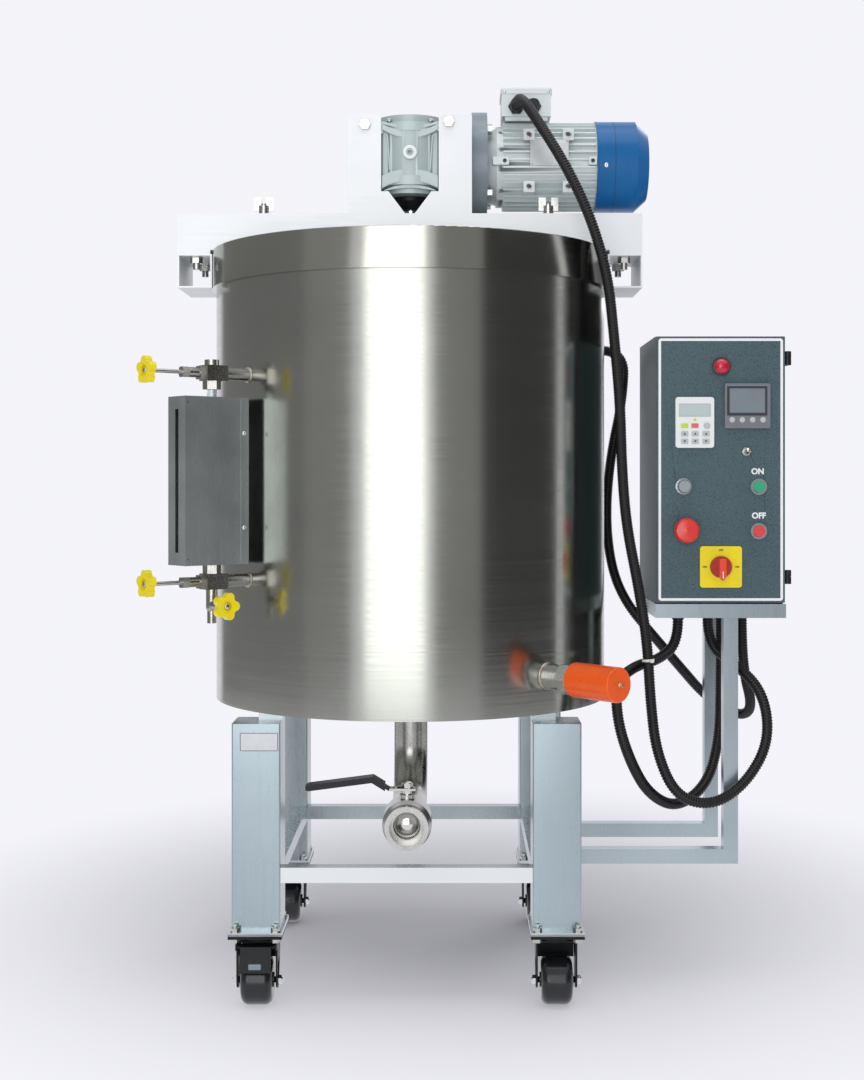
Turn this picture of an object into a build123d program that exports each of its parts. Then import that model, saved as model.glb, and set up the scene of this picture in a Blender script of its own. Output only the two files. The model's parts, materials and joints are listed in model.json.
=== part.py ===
"""Jacketed chocolate tempering machine on casters, with a top gearmotor and a control box.

Lengths are millimetres. Everything is laid out about the upright axis of the tank, with the ground at
zero height and the front of the machine towards -Y, and is moved to the base centre when it is saved.
"""
import math
import os

from build123d import *

# Fits
RUN = 0.05            # radial clearance of a shaft in its bearing
GAP = 0.4             # air between pieces that move past each other

# Tank
TANK_RADIUS = 350.0
SHELL_WALL = 2.5
FLOOR_Z = 480.0
FLOOR_PLATE = 4.0
RIM_Z = 1274.0
RIM_BAND_HEIGHT = 67.0
RIM_BAND_WALL = 8.0
JACKET_GAP = 48.0
VESSEL_WALL = 3.0
DISH_DEPTH = 75.0
DISH_LIFT = 95.0

# Outlet pipe and ball valve
PIPE_RADIUS = 30.15
PIPE_WALL = 2.8
ELBOW_RADIUS = 90.0
VALVE_Z = 297.0
VALVE_Y = -240.0
VALVE_LENGTH = 112.0
VALVE_BODY_RADIUS = 41.0
VALVE_END_RADIUS = 36.0
VALVE_THREAD_RADIUS = 28.3
VALVE_THREAD_DEPTH = 22.0
VALVE_PORT_RADIUS = 22.5
BALL_RADIUS = 31.0
STEM_RADIUS = 7.0
STEM_BOSS_RADIUS = 13.0
STEM_BOSS_TOP = 46.0
LEVER_RISE = 53.0
LEVER_LENGTH = 166.0
LEVER_THICKNESS = 4.0
LEVER_WIDTH = 22.0
GRIP_START = 37.0
GRIP_WALL = 3.0

# Stand
LEG_SIZE = 80.0
LEG_WALL = 4.0
LEG_CENTRE = 247.0
LEG_TOP = 467.0
FOOT_PLATE = 6.0
CASTER_PLATE = 5.0
PLATE_WIDTH = 88.0
PLATE_DEPTH = 112.0
PLATE_BOLT_X = 33.0
PLATE_BOLT_Y = 48.0
RAIL_SIZE = 25.0
RAIL_WALL = 2.0
RAIL_Z = 218.5

# Casters
WHEEL_RADIUS = 40.0
WHEEL_WIDTH = 52.0
WHEEL_EDGE = 13.0
CASTER_HEIGHT = 123.0
CASTER_TRAIL = 12.0
AXLE_RADIUS = 5.0
FORK_WIDTH = 68.0
FORK_PLATE = 3.0
RACE_RADIUS = 30.0
RACE_HEIGHT = 7.0
KINGPIN_RADIUS = 6.0
PEDAL_WIDTH = 50.0
PEDAL_PIN_RADIUS = 3.0

# Outrigger and control box
ARM_FRONT_Y = -141.0
ARM_REAR_Y = 64.0
POST_X = 555.0
TRAY_HEIGHT = 24.0
TRAY_WALL = 2.0
TRAY_MARGIN = 1.5
BOX_LEFT = 426.0
BOX_WIDTH = 221.0
BOX_BACK = 80.0
BOX_FRONT = -141.0
BOX_BOTTOM = 654.0
BOX_HEIGHT = 461.0
BOX_WALL = 1.5
BOX_LIP = 14.0
DOOR_DEPTH = 18.0
DOOR_GAP = 1.0
HINGE_PIN_RADIUS = 2.5
HINGE_KNUCKLE_RADIUS = 6.0
HINGE_LENGTH = 24.0

# Drive
BEAM_HALF = 412.0
BEAM_DEPTH = 150.0
BEAM_BOTTOM = 1275.0
BEAM_HEIGHT = 65.0
BEAM_WALL = 5.0
BEAM_FOOT = 7.0
STUB_SIZE = 60.0
STUB_WALL = 3.0
BRACKET_HALF = 110.0
BRACKET_HEIGHT = 174.0
BRACKET_PLATE = 6.0
WINDOW_HALF = 51.0
WINDOW_SILL = 39.0
NOTCH_TOP_HALF = 38.0
NOTCH_BOTTOM_HALF = 8.0
BRACKET_BACK_HEIGHT = 50.0
DRIVE_Z = 1448.0
CENTRE_DISTANCE = 63.0
WORM_RADIUS = 18.0
WORM_LENGTH = 56.0
WHEEL_FACE = 26.0
HUB_RADIUS = 25.0
HUB_LENGTH = 124.0
SHAFT_NECK_RADIUS = 14.0
SHAFT_RADIUS = 20.0
COUPLING_RADIUS = 30.0
HOUSING_RADIUS = 72.0
HOUSING_HEIGHT = 112.0
COVER_RADIUS = 64.0
COVER_THICKNESS = 14.0
BARREL_RADIUS = 40.0
INPUT_FLANGE_X = 111.0
INPUT_FLANGE = 13.0
FLANGE_RADIUS = 100.0
MOTOR_FLANGE = 15.0
SHIELD_RADIUS = 66.0
SHIELD_END = 164.0
MOTOR_END = 338.0
MOTOR_RADIUS = 74.0
FIN_RADIUS = 81.0
FIN_THICKNESS = 3.0
FIN_COUNT = 36
ROTOR_RADIUS = 45.0
MOTOR_SHAFT_RADIUS = 12.0
COWL_RADIUS = 83.0
COWL_WALL = 2.0
COWL_END = 434.0
COWL_TAPER = 22.0
COWL_FACE_RADIUS = 63.0
TERMINAL_LEFT = 164.0
TERMINAL_WIDTH = 94.0
TERMINAL_DEPTH = 90.0
TERMINAL_BOTTOM = 1534.0
TERMINAL_HEIGHT = 53.0
GLAND_RADIUS = 13.0
GLAND_Z = 1551.0
GLAND_X = (192.5, 223.0)
WING_BOLT_X = (-261.5, 247.0)
WING_BOLT_Y = -50.0
WING_BOLT_HEIGHT = 33.0

# Level gauge, in a frame of its own that is turned onto the tank
GAUGE_TURN = -50.0
GLASS_Y = -420.0
GLASS_RADIUS = 8.0
GLASS_WALL = 1.6
UPPER_VALVE_Z = 1043.0
LOWER_VALVE_Z = 700.0
NIPPLE_RADIUS = 10.7
VALVE_BLOCK = 26.0
GAUGE_STEM_RADIUS = 3.5
GAUGE_NUT = 14.0
HANDWHEEL_Y = -535.0
HANDWHEEL_RADIUS = 23.0
HANDWHEEL_THICKNESS = 12.0
GUARD_NEAR_Y = -366.0
GUARD_FAR_Y = -486.0
GUARD_WIDTH = 54.0
GUARD_WALL = 1.5
GUARD_BOTTOM = 728.0
GUARD_TOP = 1003.0
SLOT_WIDTH = 10.8
SLOT_MARGIN = 21.0
DRAIN_DROP = 39.0
DRAIN_REACH = 38.0

# Immersion heater, in a frame of its own that is turned onto the tank
HEATER_TURN = 42.0
HEATER_Z = 542.0
HEATER_STUB_RADIUS = 21.5
HEATER_HEX = 48.0
HEATER_HEX_Y = -388.0
CAP_NEAR_Y = -412.0
CAP_FAR_Y = -507.0
CAP_RADIUS = 28.5
CAP_WALL = 2.5
ELEMENT_RADIUS = 4.0
ELEMENT_SPREAD = 12.0
ELEMENT_END_Y = -130.0

# Agitator and lids
ANCHOR_CLEARANCE = 10.0
ANCHOR_WIDTH = 34.0
ANCHOR_THICKNESS = 10.0
ANCHOR_TOP = 1180.0
SCRAPER_CLEARANCE = 1.2
SCRAPER_THICKNESS = 8.0
SCRAPER_HEIGHT = 70.0
LID_THICKNESS = 2.0
LID_RADIUS = 338.0
LID_GAP_TO_BEAM = 3.0
LID_PIN_RADIUS = 3.0

# Door fittings: across from the left edge of the door, and down from its top
PILOT = (111.0, 53.0)
CONTROLLER = (155.6, 120.7)
KEYPAD = (64.9, 149.2)
TOGGLE = (154.5, 199.2)
SPEED = (46.5, 258.8)
ON_BUTTON = (175.3, 259.5)
STOP_BUTTON = (49.6, 334.2)
OFF_BUTTON = (175.3, 335.7)
MAIN_SWITCH = (110.4, 397.2)
BUTTON_RADIUS = 11.0
COLLAR_RADIUS = 14.0
COLLAR_HEIGHT = 5.0
BUTTON_STAND = 9.0
STOP_RADIUS = 21.0
BARREL_HOLE_RADIUS = 11.0

# Cables
CABLE_RADIUS = 9.5

# Places worked out from the sizes above
SHELL_INNER = TANK_RADIUS - SHELL_WALL
BAND_RADIUS = TANK_RADIUS + RIM_BAND_WALL
VESSEL_RADIUS = SHELL_INNER - JACKET_GAP
VESSEL_INNER = VESSEL_RADIUS - VESSEL_WALL
DISH_Z = FLOOR_Z + DISH_LIFT
DISH_SPHERE = (VESSEL_RADIUS ** 2 + DISH_DEPTH ** 2) / (2 * DISH_DEPTH)
LEG_SPOTS = [(sx * LEG_CENTRE, sy * LEG_CENTRE) for sy in (-1, 1) for sx in (-1, 1)]
LEG_NAMES = ("front_left", "front_right", "rear_left", "rear_right")
FOOT_TOP = CASTER_HEIGHT + FOOT_PLATE
PLATE_BOTTOM = CASTER_HEIGHT - CASTER_PLATE
BEAM_TOP = BEAM_BOTTOM + BEAM_HEIGHT
BEAM_FRONT = -BEAM_DEPTH / 2
BRACKET_TOP = BEAM_TOP + BRACKET_HEIGHT
HUB_TOP = DRIVE_Z + HUB_LENGTH / 2
GEAR_PITCH_RADIUS = CENTRE_DISTANCE - WORM_RADIUS
MOTOR_FLANGE_X = INPUT_FLANGE_X + INPUT_FLANGE
BOX_RIGHT = BOX_LEFT + BOX_WIDTH
BOX_TOP = BOX_BOTTOM + BOX_HEIGHT
DOOR_BACK = BOX_FRONT - DOOR_GAP
DOOR_FRONT = DOOR_BACK - DOOR_DEPTH
DOOR_TOP = BOX_TOP - 1.0
DOOR_BOTTOM = BOX_BOTTOM + 2.0
HINGE_X = BOX_RIGHT + HINGE_KNUCKLE_RADIUS + GAP
HINGE_Y = (DOOR_FRONT + DOOR_BACK) / 2
HINGE_Z = (BOX_TOP - 38.0, BOX_BOTTOM + 46.0)
LID_HINGE_Y = BEAM_DEPTH / 2 + LID_GAP_TO_BEAM + 6.0
LID_HINGE_Z = RIM_Z + LID_THICKNESS + 6.5


# Basic shapes
def block(x, y, z):
    """A box between two corners, given as ranges."""
    centre = Pos((x[0] + x[1]) / 2, (y[0] + y[1]) / 2, (z[0] + z[1]) / 2)
    return centre * Box(x[1] - x[0], y[1] - y[0], z[1] - z[0])


def rod_z(radius, z, x=0.0, y=0.0):
    return Pos(x, y, (z[0] + z[1]) / 2) * Cylinder(radius, z[1] - z[0])


def rod_y(radius, y, x=0.0, z=0.0):
    return Pos(x, (y[0] + y[1]) / 2, z) * Rot(X=90) * Cylinder(radius, y[1] - y[0])


def rod_x(radius, x, y=0.0, z=0.0):
    return Pos((x[0] + x[1]) / 2, y, z) * Rot(Y=90) * Cylinder(radius, x[1] - x[0])


def tube_z(outer, inner, z, x=0.0, y=0.0):
    return rod_z(outer, z, x, y) - rod_z(inner, (z[0] - 1, z[1] + 1), x, y)


def tube_x(outer, inner, x, y=0.0, z=0.0):
    return rod_x(outer, x, y, z) - rod_x(inner, (x[0] - 1, x[1] + 1), y, z)


def tube_y(outer, inner, y, x=0.0, z=0.0):
    return rod_y(outer, y, x, z) - rod_y(inner, (y[0] - 1, y[1] + 1), x, z)


def hexagon_z(flats, z, x=0.0, y=0.0):
    nut = extrude(RegularPolygon(flats / 2, 6, major_radius=False), z[1] - z[0])
    return Pos(x, y, z[0]) * nut


def hexagon_y(flats, y, x=0.0, z=0.0):
    nut = extrude(RegularPolygon(flats / 2, 6, major_radius=False), y[1] - y[0])
    return Pos(x, y[1], z) * Rot(X=90) * nut


def hexagon_x(flats, x, y=0.0, z=0.0):
    nut = extrude(RegularPolygon(flats / 2, 6, major_radius=False), x[1] - x[0])
    return Pos(x[0], y, z) * Rot(Y=90) * nut


def turned_z(points):
    """A solid turned about the Z axis from (radius, height) points."""
    return revolve(Plane.XZ * make_face(Polyline(*points, close=True)), Axis.Z)


def turned_y(points):
    """A solid turned about the Y axis from (radius, y) points, y growing backwards."""
    return Rot(X=-90) * turned_z(points)


def turned_x(points):
    """A solid turned about the X axis from (radius, x) points."""
    return Rot(Y=90) * turned_z(points)


def square_tube(x, y, z, wall, along):
    """A square tube with open ends; along is 0, 1 or 2 for X, Y or Z."""
    ranges = [x, y, z]
    inner = []
    for axis, (low, high) in enumerate(ranges):
        inner.append((low - 1, high + 1) if axis == along else (low + wall, high - wall))
    return block(*ranges) - block(*inner)


def gather(solids):
    """Separate solids of one node."""
    return Compound(children=[solid for item in solids for solid in item.solids()])


# Stand
def frame_legs():
    solids = []
    half = LEG_SIZE / 2
    for x, y in LEG_SPOTS:
        span_x = (x - half, x + half)
        span_y = (y - half, y + half)
        leg = square_tube(span_x, span_y, (FOOT_TOP, LEG_TOP - LEG_WALL), LEG_WALL, 2)
        leg += block(span_x, span_y, (LEG_TOP - LEG_WALL, LEG_TOP))
        upright = [edge for edge in leg.edges().filter_by(Axis.Z) if edge.length > 100]
        outside = [edge for edge in upright if max(abs(edge.center().X - x), abs(edge.center().Y - y)) > half - 0.1]
        solids.append(fillet(outside, 3.0))
        inner = LEG_CENTRE - half
        pad_x = sorted((math.copysign(inner, x), math.copysign(inner + half, x)))
        pad_y = sorted((math.copysign(inner, y), math.copysign(inner + half, y)))
        solids.append(block(pad_x, pad_y, (LEG_TOP, FLOOR_Z)))
    return gather(solids)


def plate_bolt_spots():
    spots = []
    for x, y in LEG_SPOTS:
        for sx in (-1, 1):
            for sy in (-1, 1):
                spots.append((x + sx * PLATE_BOLT_X, y + sy * PLATE_BOLT_Y))
    return spots


def foot_plates():
    solids = []
    for x, y in LEG_SPOTS:
        span_x = (x - PLATE_WIDTH / 2, x + PLATE_WIDTH / 2)
        span_y = (y - PLATE_DEPTH / 2, y + PLATE_DEPTH / 2)
        foot = block(span_x, span_y, (CASTER_HEIGHT, FOOT_TOP))
        caster = block(span_x, span_y, (PLATE_BOTTOM, CASTER_HEIGHT))
        for sx in (-1, 1):
            for sy in (-1, 1):
                hole = rod_z(4.2, (PLATE_BOTTOM - 1, FOOT_TOP + 1), x + sx * PLATE_BOLT_X, y + sy * PLATE_BOLT_Y)
                foot -= hole
                caster -= hole
        race = PLATE_BOTTOM - 6.0
        caster += rod_z(RACE_RADIUS - 4, (race, PLATE_BOTTOM), x, y)
        under = race - 2 * GAP - RACE_HEIGHT
        caster += rod_z(KINGPIN_RADIUS, (under - 5, race), x, y) + rod_z(KINGPIN_RADIUS + 4, (under - 5, under), x, y)
        solids += [foot, caster]
    return gather(solids)


def frame_rails():
    low = RAIL_Z - RAIL_SIZE / 2
    high = RAIL_Z + RAIL_SIZE / 2
    inner = LEG_CENTRE - LEG_SIZE / 2
    outer = LEG_CENTRE + LEG_SIZE / 2
    front = square_tube((-inner, inner), (-outer + 2, -outer + 2 + RAIL_SIZE), (low, high), RAIL_WALL, 0)
    rear = square_tube((-inner, inner), (inner, inner + RAIL_SIZE), (low, high), RAIL_WALL, 0)
    sides = []
    for sign in (-1, 1):
        span = sorted((sign * inner, sign * (inner + RAIL_SIZE)))
        sides.append(square_tube(span, (-inner, inner), (low, high), RAIL_WALL, 1))
    return gather([front, rear] + sides)


def panel_stand():
    half = RAIL_SIZE / 2
    low = RAIL_Z - half
    high = RAIL_Z + half
    start = LEG_CENTRE - LEG_SIZE / 2 + RAIL_SIZE
    solids = []
    for y in (ARM_FRONT_Y, ARM_REAR_Y):
        solids.append(square_tube((start, POST_X - half), (y - half, y + half), (low, high), RAIL_WALL, 0))
        post = square_tube((POST_X - half, POST_X + half), (y - half, y + half),
                           (low, BOX_BOTTOM - TRAY_WALL), RAIL_WALL, 2)
        post += block((POST_X - half, POST_X + half), (y - half, y + half), (low, low + RAIL_WALL))
        solids.append(post)
    outer_x = (BOX_LEFT - TRAY_MARGIN, BOX_RIGHT + TRAY_MARGIN)
    outer_y = (DOOR_FRONT - TRAY_MARGIN, BOX_BACK + TRAY_MARGIN)
    tray = block(outer_x, outer_y, (BOX_BOTTOM - TRAY_HEIGHT, BOX_BOTTOM))
    tray -= block((outer_x[0] + TRAY_WALL, outer_x[1] - TRAY_WALL), (outer_y[0] + TRAY_WALL, outer_y[1] - TRAY_WALL),
                  (BOX_BOTTOM - TRAY_HEIGHT - 1, BOX_BOTTOM - TRAY_WALL))
    for x, y in GLAND_SPOTS:
        tray -= rod_z(GLAND_RADIUS + 3, (BOX_BOTTOM - TRAY_HEIGHT, BOX_BOTTOM + 1), x, y)
    solids.append(tray)
    return gather(solids)


# Tank
def dish_height(radius, wall=0.0):
    """Height of the dished bottom at a radius, wall millimetres inside its outer face."""
    sphere = DISH_SPHERE - wall
    return DISH_Z + DISH_SPHERE - math.sqrt(sphere ** 2 - radius ** 2)


def dished(radius, wall, top, bore=0.0):
    """The closed space of a drum with the vessel's dish, wall millimetres inside the vessel's outer face."""
    middle = radius / 2
    arc = ThreePointArc((bore, dish_height(bore, wall)), (middle, dish_height(middle, wall)),
                        (radius, dish_height(radius, wall)))
    sides = Polyline((radius, dish_height(radius, wall)), (radius, top), (bore, top),
                     (bore, dish_height(bore, wall)))
    return revolve(Plane.XZ * make_face([arc, sides]), Axis.Z)


def tank_jacket():
    wall = tube_z(TANK_RADIUS, SHELL_INNER, (FLOOR_Z, RIM_Z))
    floor = rod_z(SHELL_INNER, (FLOOR_Z, FLOOR_Z + FLOOR_PLATE))
    floor -= rod_z(PIPE_RADIUS, (FLOOR_Z - 1, FLOOR_Z + FLOOR_PLATE + 1))
    band = tube_z(BAND_RADIUS, TANK_RADIUS, (RIM_Z - RIM_BAND_HEIGHT, RIM_Z))
    band = fillet(band.edges().filter_by(GeomType.CIRCLE).group_by(Axis.Z)[-1], 1.5)
    for z in (UPPER_VALVE_Z, LOWER_VALVE_Z):
        wall -= Rot(Z=GAUGE_TURN) * rod_y(NIPPLE_RADIUS - 3, (-TANK_RADIUS - 9, -TANK_RADIUS + 9), 0, z)
    wall -= Rot(Z=HEATER_TURN) * rod_y(HEATER_STUB_RADIUS - 4, (-TANK_RADIUS - 9, -TANK_RADIUS + 9), 0, HEATER_Z)
    return gather([wall, floor, band])


def inner_vessel():
    vessel = dished(VESSEL_RADIUS, 0.0, RIM_Z)
    vessel += tube_z(SHELL_INNER, VESSEL_RADIUS - 1, (RIM_Z - VESSEL_WALL, RIM_Z))
    vessel -= dished(VESSEL_INNER, VESSEL_WALL, RIM_Z + 1)
    vessel -= rod_z(PIPE_RADIUS - PIPE_WALL, (DISH_Z - 5, DISH_Z + DISH_DEPTH))
    return vessel


def outlet_pipe():
    bend = VALVE_Z + ELBOW_RADIUS
    end = VALVE_Y + VALVE_LENGTH / 2
    down = Line((0, 0, DISH_Z + 4), (0, 0, bend))
    corner = ThreePointArc((0, 0, bend), (0, -ELBOW_RADIUS * (1 - math.sqrt(0.5)), bend - ELBOW_RADIUS * math.sqrt(0.5)),
                           (0, -ELBOW_RADIUS, VALVE_Z))
    out = Line((0, -ELBOW_RADIUS, VALVE_Z), (0, end, VALVE_Z))
    ring = Circle(PIPE_RADIUS) - Circle(PIPE_RADIUS - PIPE_WALL)
    pipe = sweep(Plane((0, 0, DISH_Z + 4), z_dir=(0, 0, -1)) * ring, path=Wire([down, corner, out]))
    return pipe - dished(VESSEL_RADIUS, 0.0, RIM_Z)


def valve_axis(part):
    return Pos(0, VALVE_Y, VALVE_Z) * part


def valve_body():
    half = VALVE_LENGTH / 2
    body = turned_y([(0, -half), (VALVE_END_RADIUS, -half), (VALVE_END_RADIUS, -half + 20),
                     (VALVE_END_RADIUS - 3, -half + 24), (VALVE_BODY_RADIUS, -half + 30),
                     (VALVE_BODY_RADIUS, half - 30), (VALVE_END_RADIUS - 3, half - 24),
                     (VALVE_END_RADIUS, half - 20), (VALVE_END_RADIUS, half), (0, half)])
    body += rod_z(STEM_BOSS_RADIUS, (VALVE_BODY_RADIUS - 6, STEM_BOSS_TOP))
    body -= Sphere(BALL_RADIUS + GAP)
    body -= rod_y(VALVE_PORT_RADIUS, (-half - 1, half + 1))
    body -= rod_y(VALVE_THREAD_RADIUS, (-half - 1, -half + VALVE_THREAD_DEPTH))
    body -= rod_y(PIPE_RADIUS, (half - 1, half + 1))
    body -= rod_z(STEM_RADIUS + RUN, (0, STEM_BOSS_TOP + 1))
    return valve_axis(body)


def valve_ball():
    ball = Sphere(BALL_RADIUS) - rod_x(VALVE_PORT_RADIUS, (-BALL_RADIUS, BALL_RADIUS))
    ball += rod_z(STEM_RADIUS, (BALL_RADIUS - 5, LEVER_RISE + LEVER_THICKNESS + 9))
    return valve_axis(ball)


def lever_line():
    return Polyline((14, LEVER_RISE), (-30, LEVER_RISE), (-58, LEVER_RISE + 17), (-LEVER_LENGTH, LEVER_RISE + 3))


def valve_lever():
    line = lever_line()
    half = LEVER_WIDTH / 2
    blade = extrude(Plane.XZ * trace(line, LEVER_THICKNESS), half, both=True)
    blade = Pos(0, 0, LEVER_THICKNESS / 2) * blade
    sleeve = extrude(Plane.XZ * trace(line, LEVER_THICKNESS + 2 * GRIP_WALL), half + GRIP_WALL, both=True)
    sleeve = Pos(0, 0, LEVER_THICKNESS / 2) * sleeve
    sleeve &= block((-LEVER_LENGTH, -GRIP_START), (-LEVER_WIDTH, LEVER_WIDTH), (0, 2 * LEVER_RISE))
    sleeve += block((-LEVER_LENGTH - GRIP_WALL, -LEVER_LENGTH), (-half - GRIP_WALL, half + GRIP_WALL),
                    (LEVER_RISE + 1, LEVER_RISE + 9))
    sleeve -= blade
    blade -= rod_z(STEM_RADIUS, (0, 2 * LEVER_RISE))
    nut = hexagon_z(17, (LEVER_RISE + LEVER_THICKNESS, LEVER_RISE + LEVER_THICKNESS + 8))
    nut -= rod_z(STEM_RADIUS, (0, 2 * LEVER_RISE))
    return gather([valve_axis(blade), valve_axis(sleeve), valve_axis(nut)])


# Level gauge
def gauge(part):
    return Rot(Z=GAUGE_TURN) * part


def gauge_valves():
    solids = []
    shell = rod_z(TANK_RADIUS, (FLOOR_Z, RIM_Z))
    half = VALVE_BLOCK / 2
    for z, side in ((UPPER_VALVE_Z, -1), (LOWER_VALVE_Z, 1)):
        body = block((-half, half), (GLASS_Y - 16, GLASS_Y + 24), (z - half, z + half))
        body += rod_y(NIPPLE_RADIUS, (GLASS_Y + 24, -TANK_RADIUS + 5), 0, z)
        body += hexagon_y(22, (GLASS_Y - 26, GLASS_Y - 16), 0, z)
        body += rod_y(8.5, (GLASS_Y - 46, GLASS_Y - 26), 0, z)
        body += hexagon_y(17, (GLASS_Y - 58, GLASS_Y - 46), 0, z)
        body -= rod_y(GAUGE_STEM_RADIUS + RUN, (GLASS_Y - 59, GLASS_Y - 10), 0, z)
        ends = sorted((z + side * half, z + side * (half + GAUGE_NUT)))
        nut = hexagon_z(26, ends, 0, GLASS_Y) - rod_z(GLASS_RADIUS, (ends[0] - 1, ends[1] + 1), 0, GLASS_Y)
        body -= rod_z(GLASS_RADIUS, sorted((z + side * (half + 1), z + side * (half - 8))), 0, GLASS_Y)
        solids += [body - shell, nut]
    plug = rod_z(12, (UPPER_VALVE_Z + half, UPPER_VALVE_Z + half + 9), 0, GLASS_Y)
    solids.append(plug)
    drain_z = LOWER_VALVE_Z - DRAIN_DROP
    drain = rod_z(9.5, (drain_z - 4, LOWER_VALVE_Z - half), 0, GLASS_Y)
    drain += Pos(0, GLASS_Y, drain_z - 4) * Sphere(9.5)
    drain += rod_x(8.5, (0, DRAIN_REACH - 14), GLASS_Y, drain_z)
    drain -= rod_x(GAUGE_STEM_RADIUS + RUN, (5, DRAIN_REACH - 12), GLASS_Y, drain_z)
    drain += rod_z(7.5, (drain_z - 30, drain_z - 4), 0, GLASS_Y)
    drain -= rod_z(DRAIN_BORE_RADIUS, (drain_z - 31, drain_z - 10), 0, GLASS_Y)
    solids.append(drain)
    return gather([gauge(solid) for solid in solids])


DRAIN_BORE_RADIUS = 5.0


def gauge_glass():
    half = VALVE_BLOCK / 2
    ends = (LOWER_VALVE_Z + half - 7, UPPER_VALVE_Z - half + 7)
    return gauge(tube_z(GLASS_RADIUS, GLASS_RADIUS - GLASS_WALL, ends, 0, GLASS_Y))


def gauge_guard():
    half = GUARD_WIDTH / 2
    outer = block((-half, half), (GUARD_FAR_Y, GUARD_NEAR_Y), (GUARD_BOTTOM, GUARD_TOP))
    guard = outer - block((-half + GUARD_WALL, half - GUARD_WALL), (GUARD_FAR_Y + GUARD_WALL, GUARD_NEAR_Y + 1),
                          (GUARD_BOTTOM + GUARD_WALL, GUARD_TOP - GUARD_WALL))
    slot = (GUARD_BOTTOM + SLOT_MARGIN, GUARD_TOP - SLOT_MARGIN)
    guard -= block((-SLOT_WIDTH / 2, SLOT_WIDTH / 2), (GUARD_FAR_Y - 1, GUARD_FAR_Y + 3), slot)
    guard -= rod_z(GLASS_RADIUS, (GUARD_BOTTOM - 1, GUARD_TOP + 1), 0, GLASS_Y)
    solids = [guard]
    for z in (GUARD_TOP - 25, GUARD_BOTTOM + 25):
        clip = block((-half + GUARD_WALL, -half + GUARD_WALL + 3), (GUARD_NEAR_Y - 20, -TANK_RADIUS + 5), (z - 12, z + 12))
        solids.append(clip - rod_z(TANK_RADIUS, (FLOOR_Z, RIM_Z)))
    return gather([gauge(solid) for solid in solids])


def handwheel_shape():
    """A five-lobed hand knob about Z, its hub end at zero, with its stem downwards."""
    lobes = Circle(HANDWHEEL_RADIUS - 6)
    for step in range(5):
        lobes += Rot(Z=72 * step + 90) * Pos(HANDWHEEL_RADIUS - 8, 0) * Circle(8)
    wheel = extrude(lobes, HANDWHEEL_THICKNESS)
    wheel -= Pos(0, 0, HANDWHEEL_THICKNESS) * Cylinder(HANDWHEEL_RADIUS - 12, 4)
    return wheel


def handwheel(stem_length):
    wheel = handwheel_shape() - rod_z(GAUGE_STEM_RADIUS, (-1, HANDWHEEL_THICKNESS + 1))
    stem = rod_z(GAUGE_STEM_RADIUS, (-stem_length, HANDWHEEL_THICKNESS - 2))
    return [wheel, stem]


def gauge_handwheel(z):
    reach = GLASS_Y - 12 - HANDWHEEL_Y
    place = Pos(0, HANDWHEEL_Y, z) * Rot(X=90)
    return gather([gauge(place * solid) for solid in handwheel(reach)])


def drain_handwheel():
    place = Pos(DRAIN_REACH, GLASS_Y, LOWER_VALVE_Z - DRAIN_DROP) * Rot(Y=90)
    return gather([gauge(place * solid) for solid in handwheel(DRAIN_REACH - 6)])


# Immersion heater
def heater(part):
    return Rot(Z=HEATER_TURN) * part


def immersion_heater():
    shell = rod_z(TANK_RADIUS, (FLOOR_Z, RIM_Z))
    boss = rod_y(HEATER_STUB_RADIUS, (HEATER_HEX_Y, -TANK_RADIUS + 6), 0, HEATER_Z) - shell
    head = hexagon_y(HEATER_HEX, (CAP_NEAR_Y, HEATER_HEX_Y), 0, HEATER_Z)
    head += rod_y(CAP_RADIUS - CAP_WALL, (CAP_NEAR_Y - 22, CAP_NEAR_Y), 0, HEATER_Z)
    boss -= rod_y(HEATER_STUB_RADIUS - 4, (HEATER_HEX_Y - 1, -TANK_RADIUS + 8), 0, HEATER_Z)
    head += rod_y(HEATER_STUB_RADIUS - 4, (HEATER_HEX_Y, -TANK_RADIUS + 2), 0, HEATER_Z)
    element = []
    for side in (-1, 1):
        x = side * ELEMENT_SPREAD
        element.append(rod_y(ELEMENT_RADIUS, (-TANK_RADIUS + 1, ELEMENT_END_Y), x, HEATER_Z))
    bend = Pos(0, ELEMENT_END_Y, HEATER_Z) * Torus(ELEMENT_SPREAD, ELEMENT_RADIUS)
    bend &= block((-40, 40), (ELEMENT_END_Y, ELEMENT_END_Y + 40), (HEATER_Z - 9, HEATER_Z + 9))
    head += element[0] + element[1] + bend
    return gather([heater(boss), heater(head)])


def heater_cap():
    cap = rod_y(CAP_RADIUS, (CAP_FAR_Y, CAP_NEAR_Y), 0, HEATER_Z)
    rim = cap.edges().filter_by(GeomType.CIRCLE).sort_by(Axis.Y)[0]
    cap = fillet(rim, 3.0)
    cap -= rod_y(CAP_RADIUS - CAP_WALL, (CAP_FAR_Y + CAP_WALL, CAP_NEAR_Y + 1), 0, HEATER_Z)
    return heater(cap)


# Drive
def beam_brackets():
    band = rod_z(BAND_RADIUS, (FLOOR_Z, RIM_Z))
    top = BEAM_BOTTOM - BEAM_FOOT
    solids = []
    for sign in (-1, 1):
        span = sorted((sign * (TANK_RADIUS + 1), sign * BEAM_HALF))
        stub = square_tube(span, (BEAM_FRONT, -BEAM_FRONT), (top - STUB_SIZE, top), STUB_WALL, 1)
        for y in BEAM_BOLT_Y:
            stub -= rod_z(6.2, (top - 10, top + 10), sign * BEAM_BOLT_X, y)
        solids.append(stub - band)
    return gather(solids)


BEAM_BOLT_X = 382.0
BEAM_BOLT_Y = (-52.0, 52.0)


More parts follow.
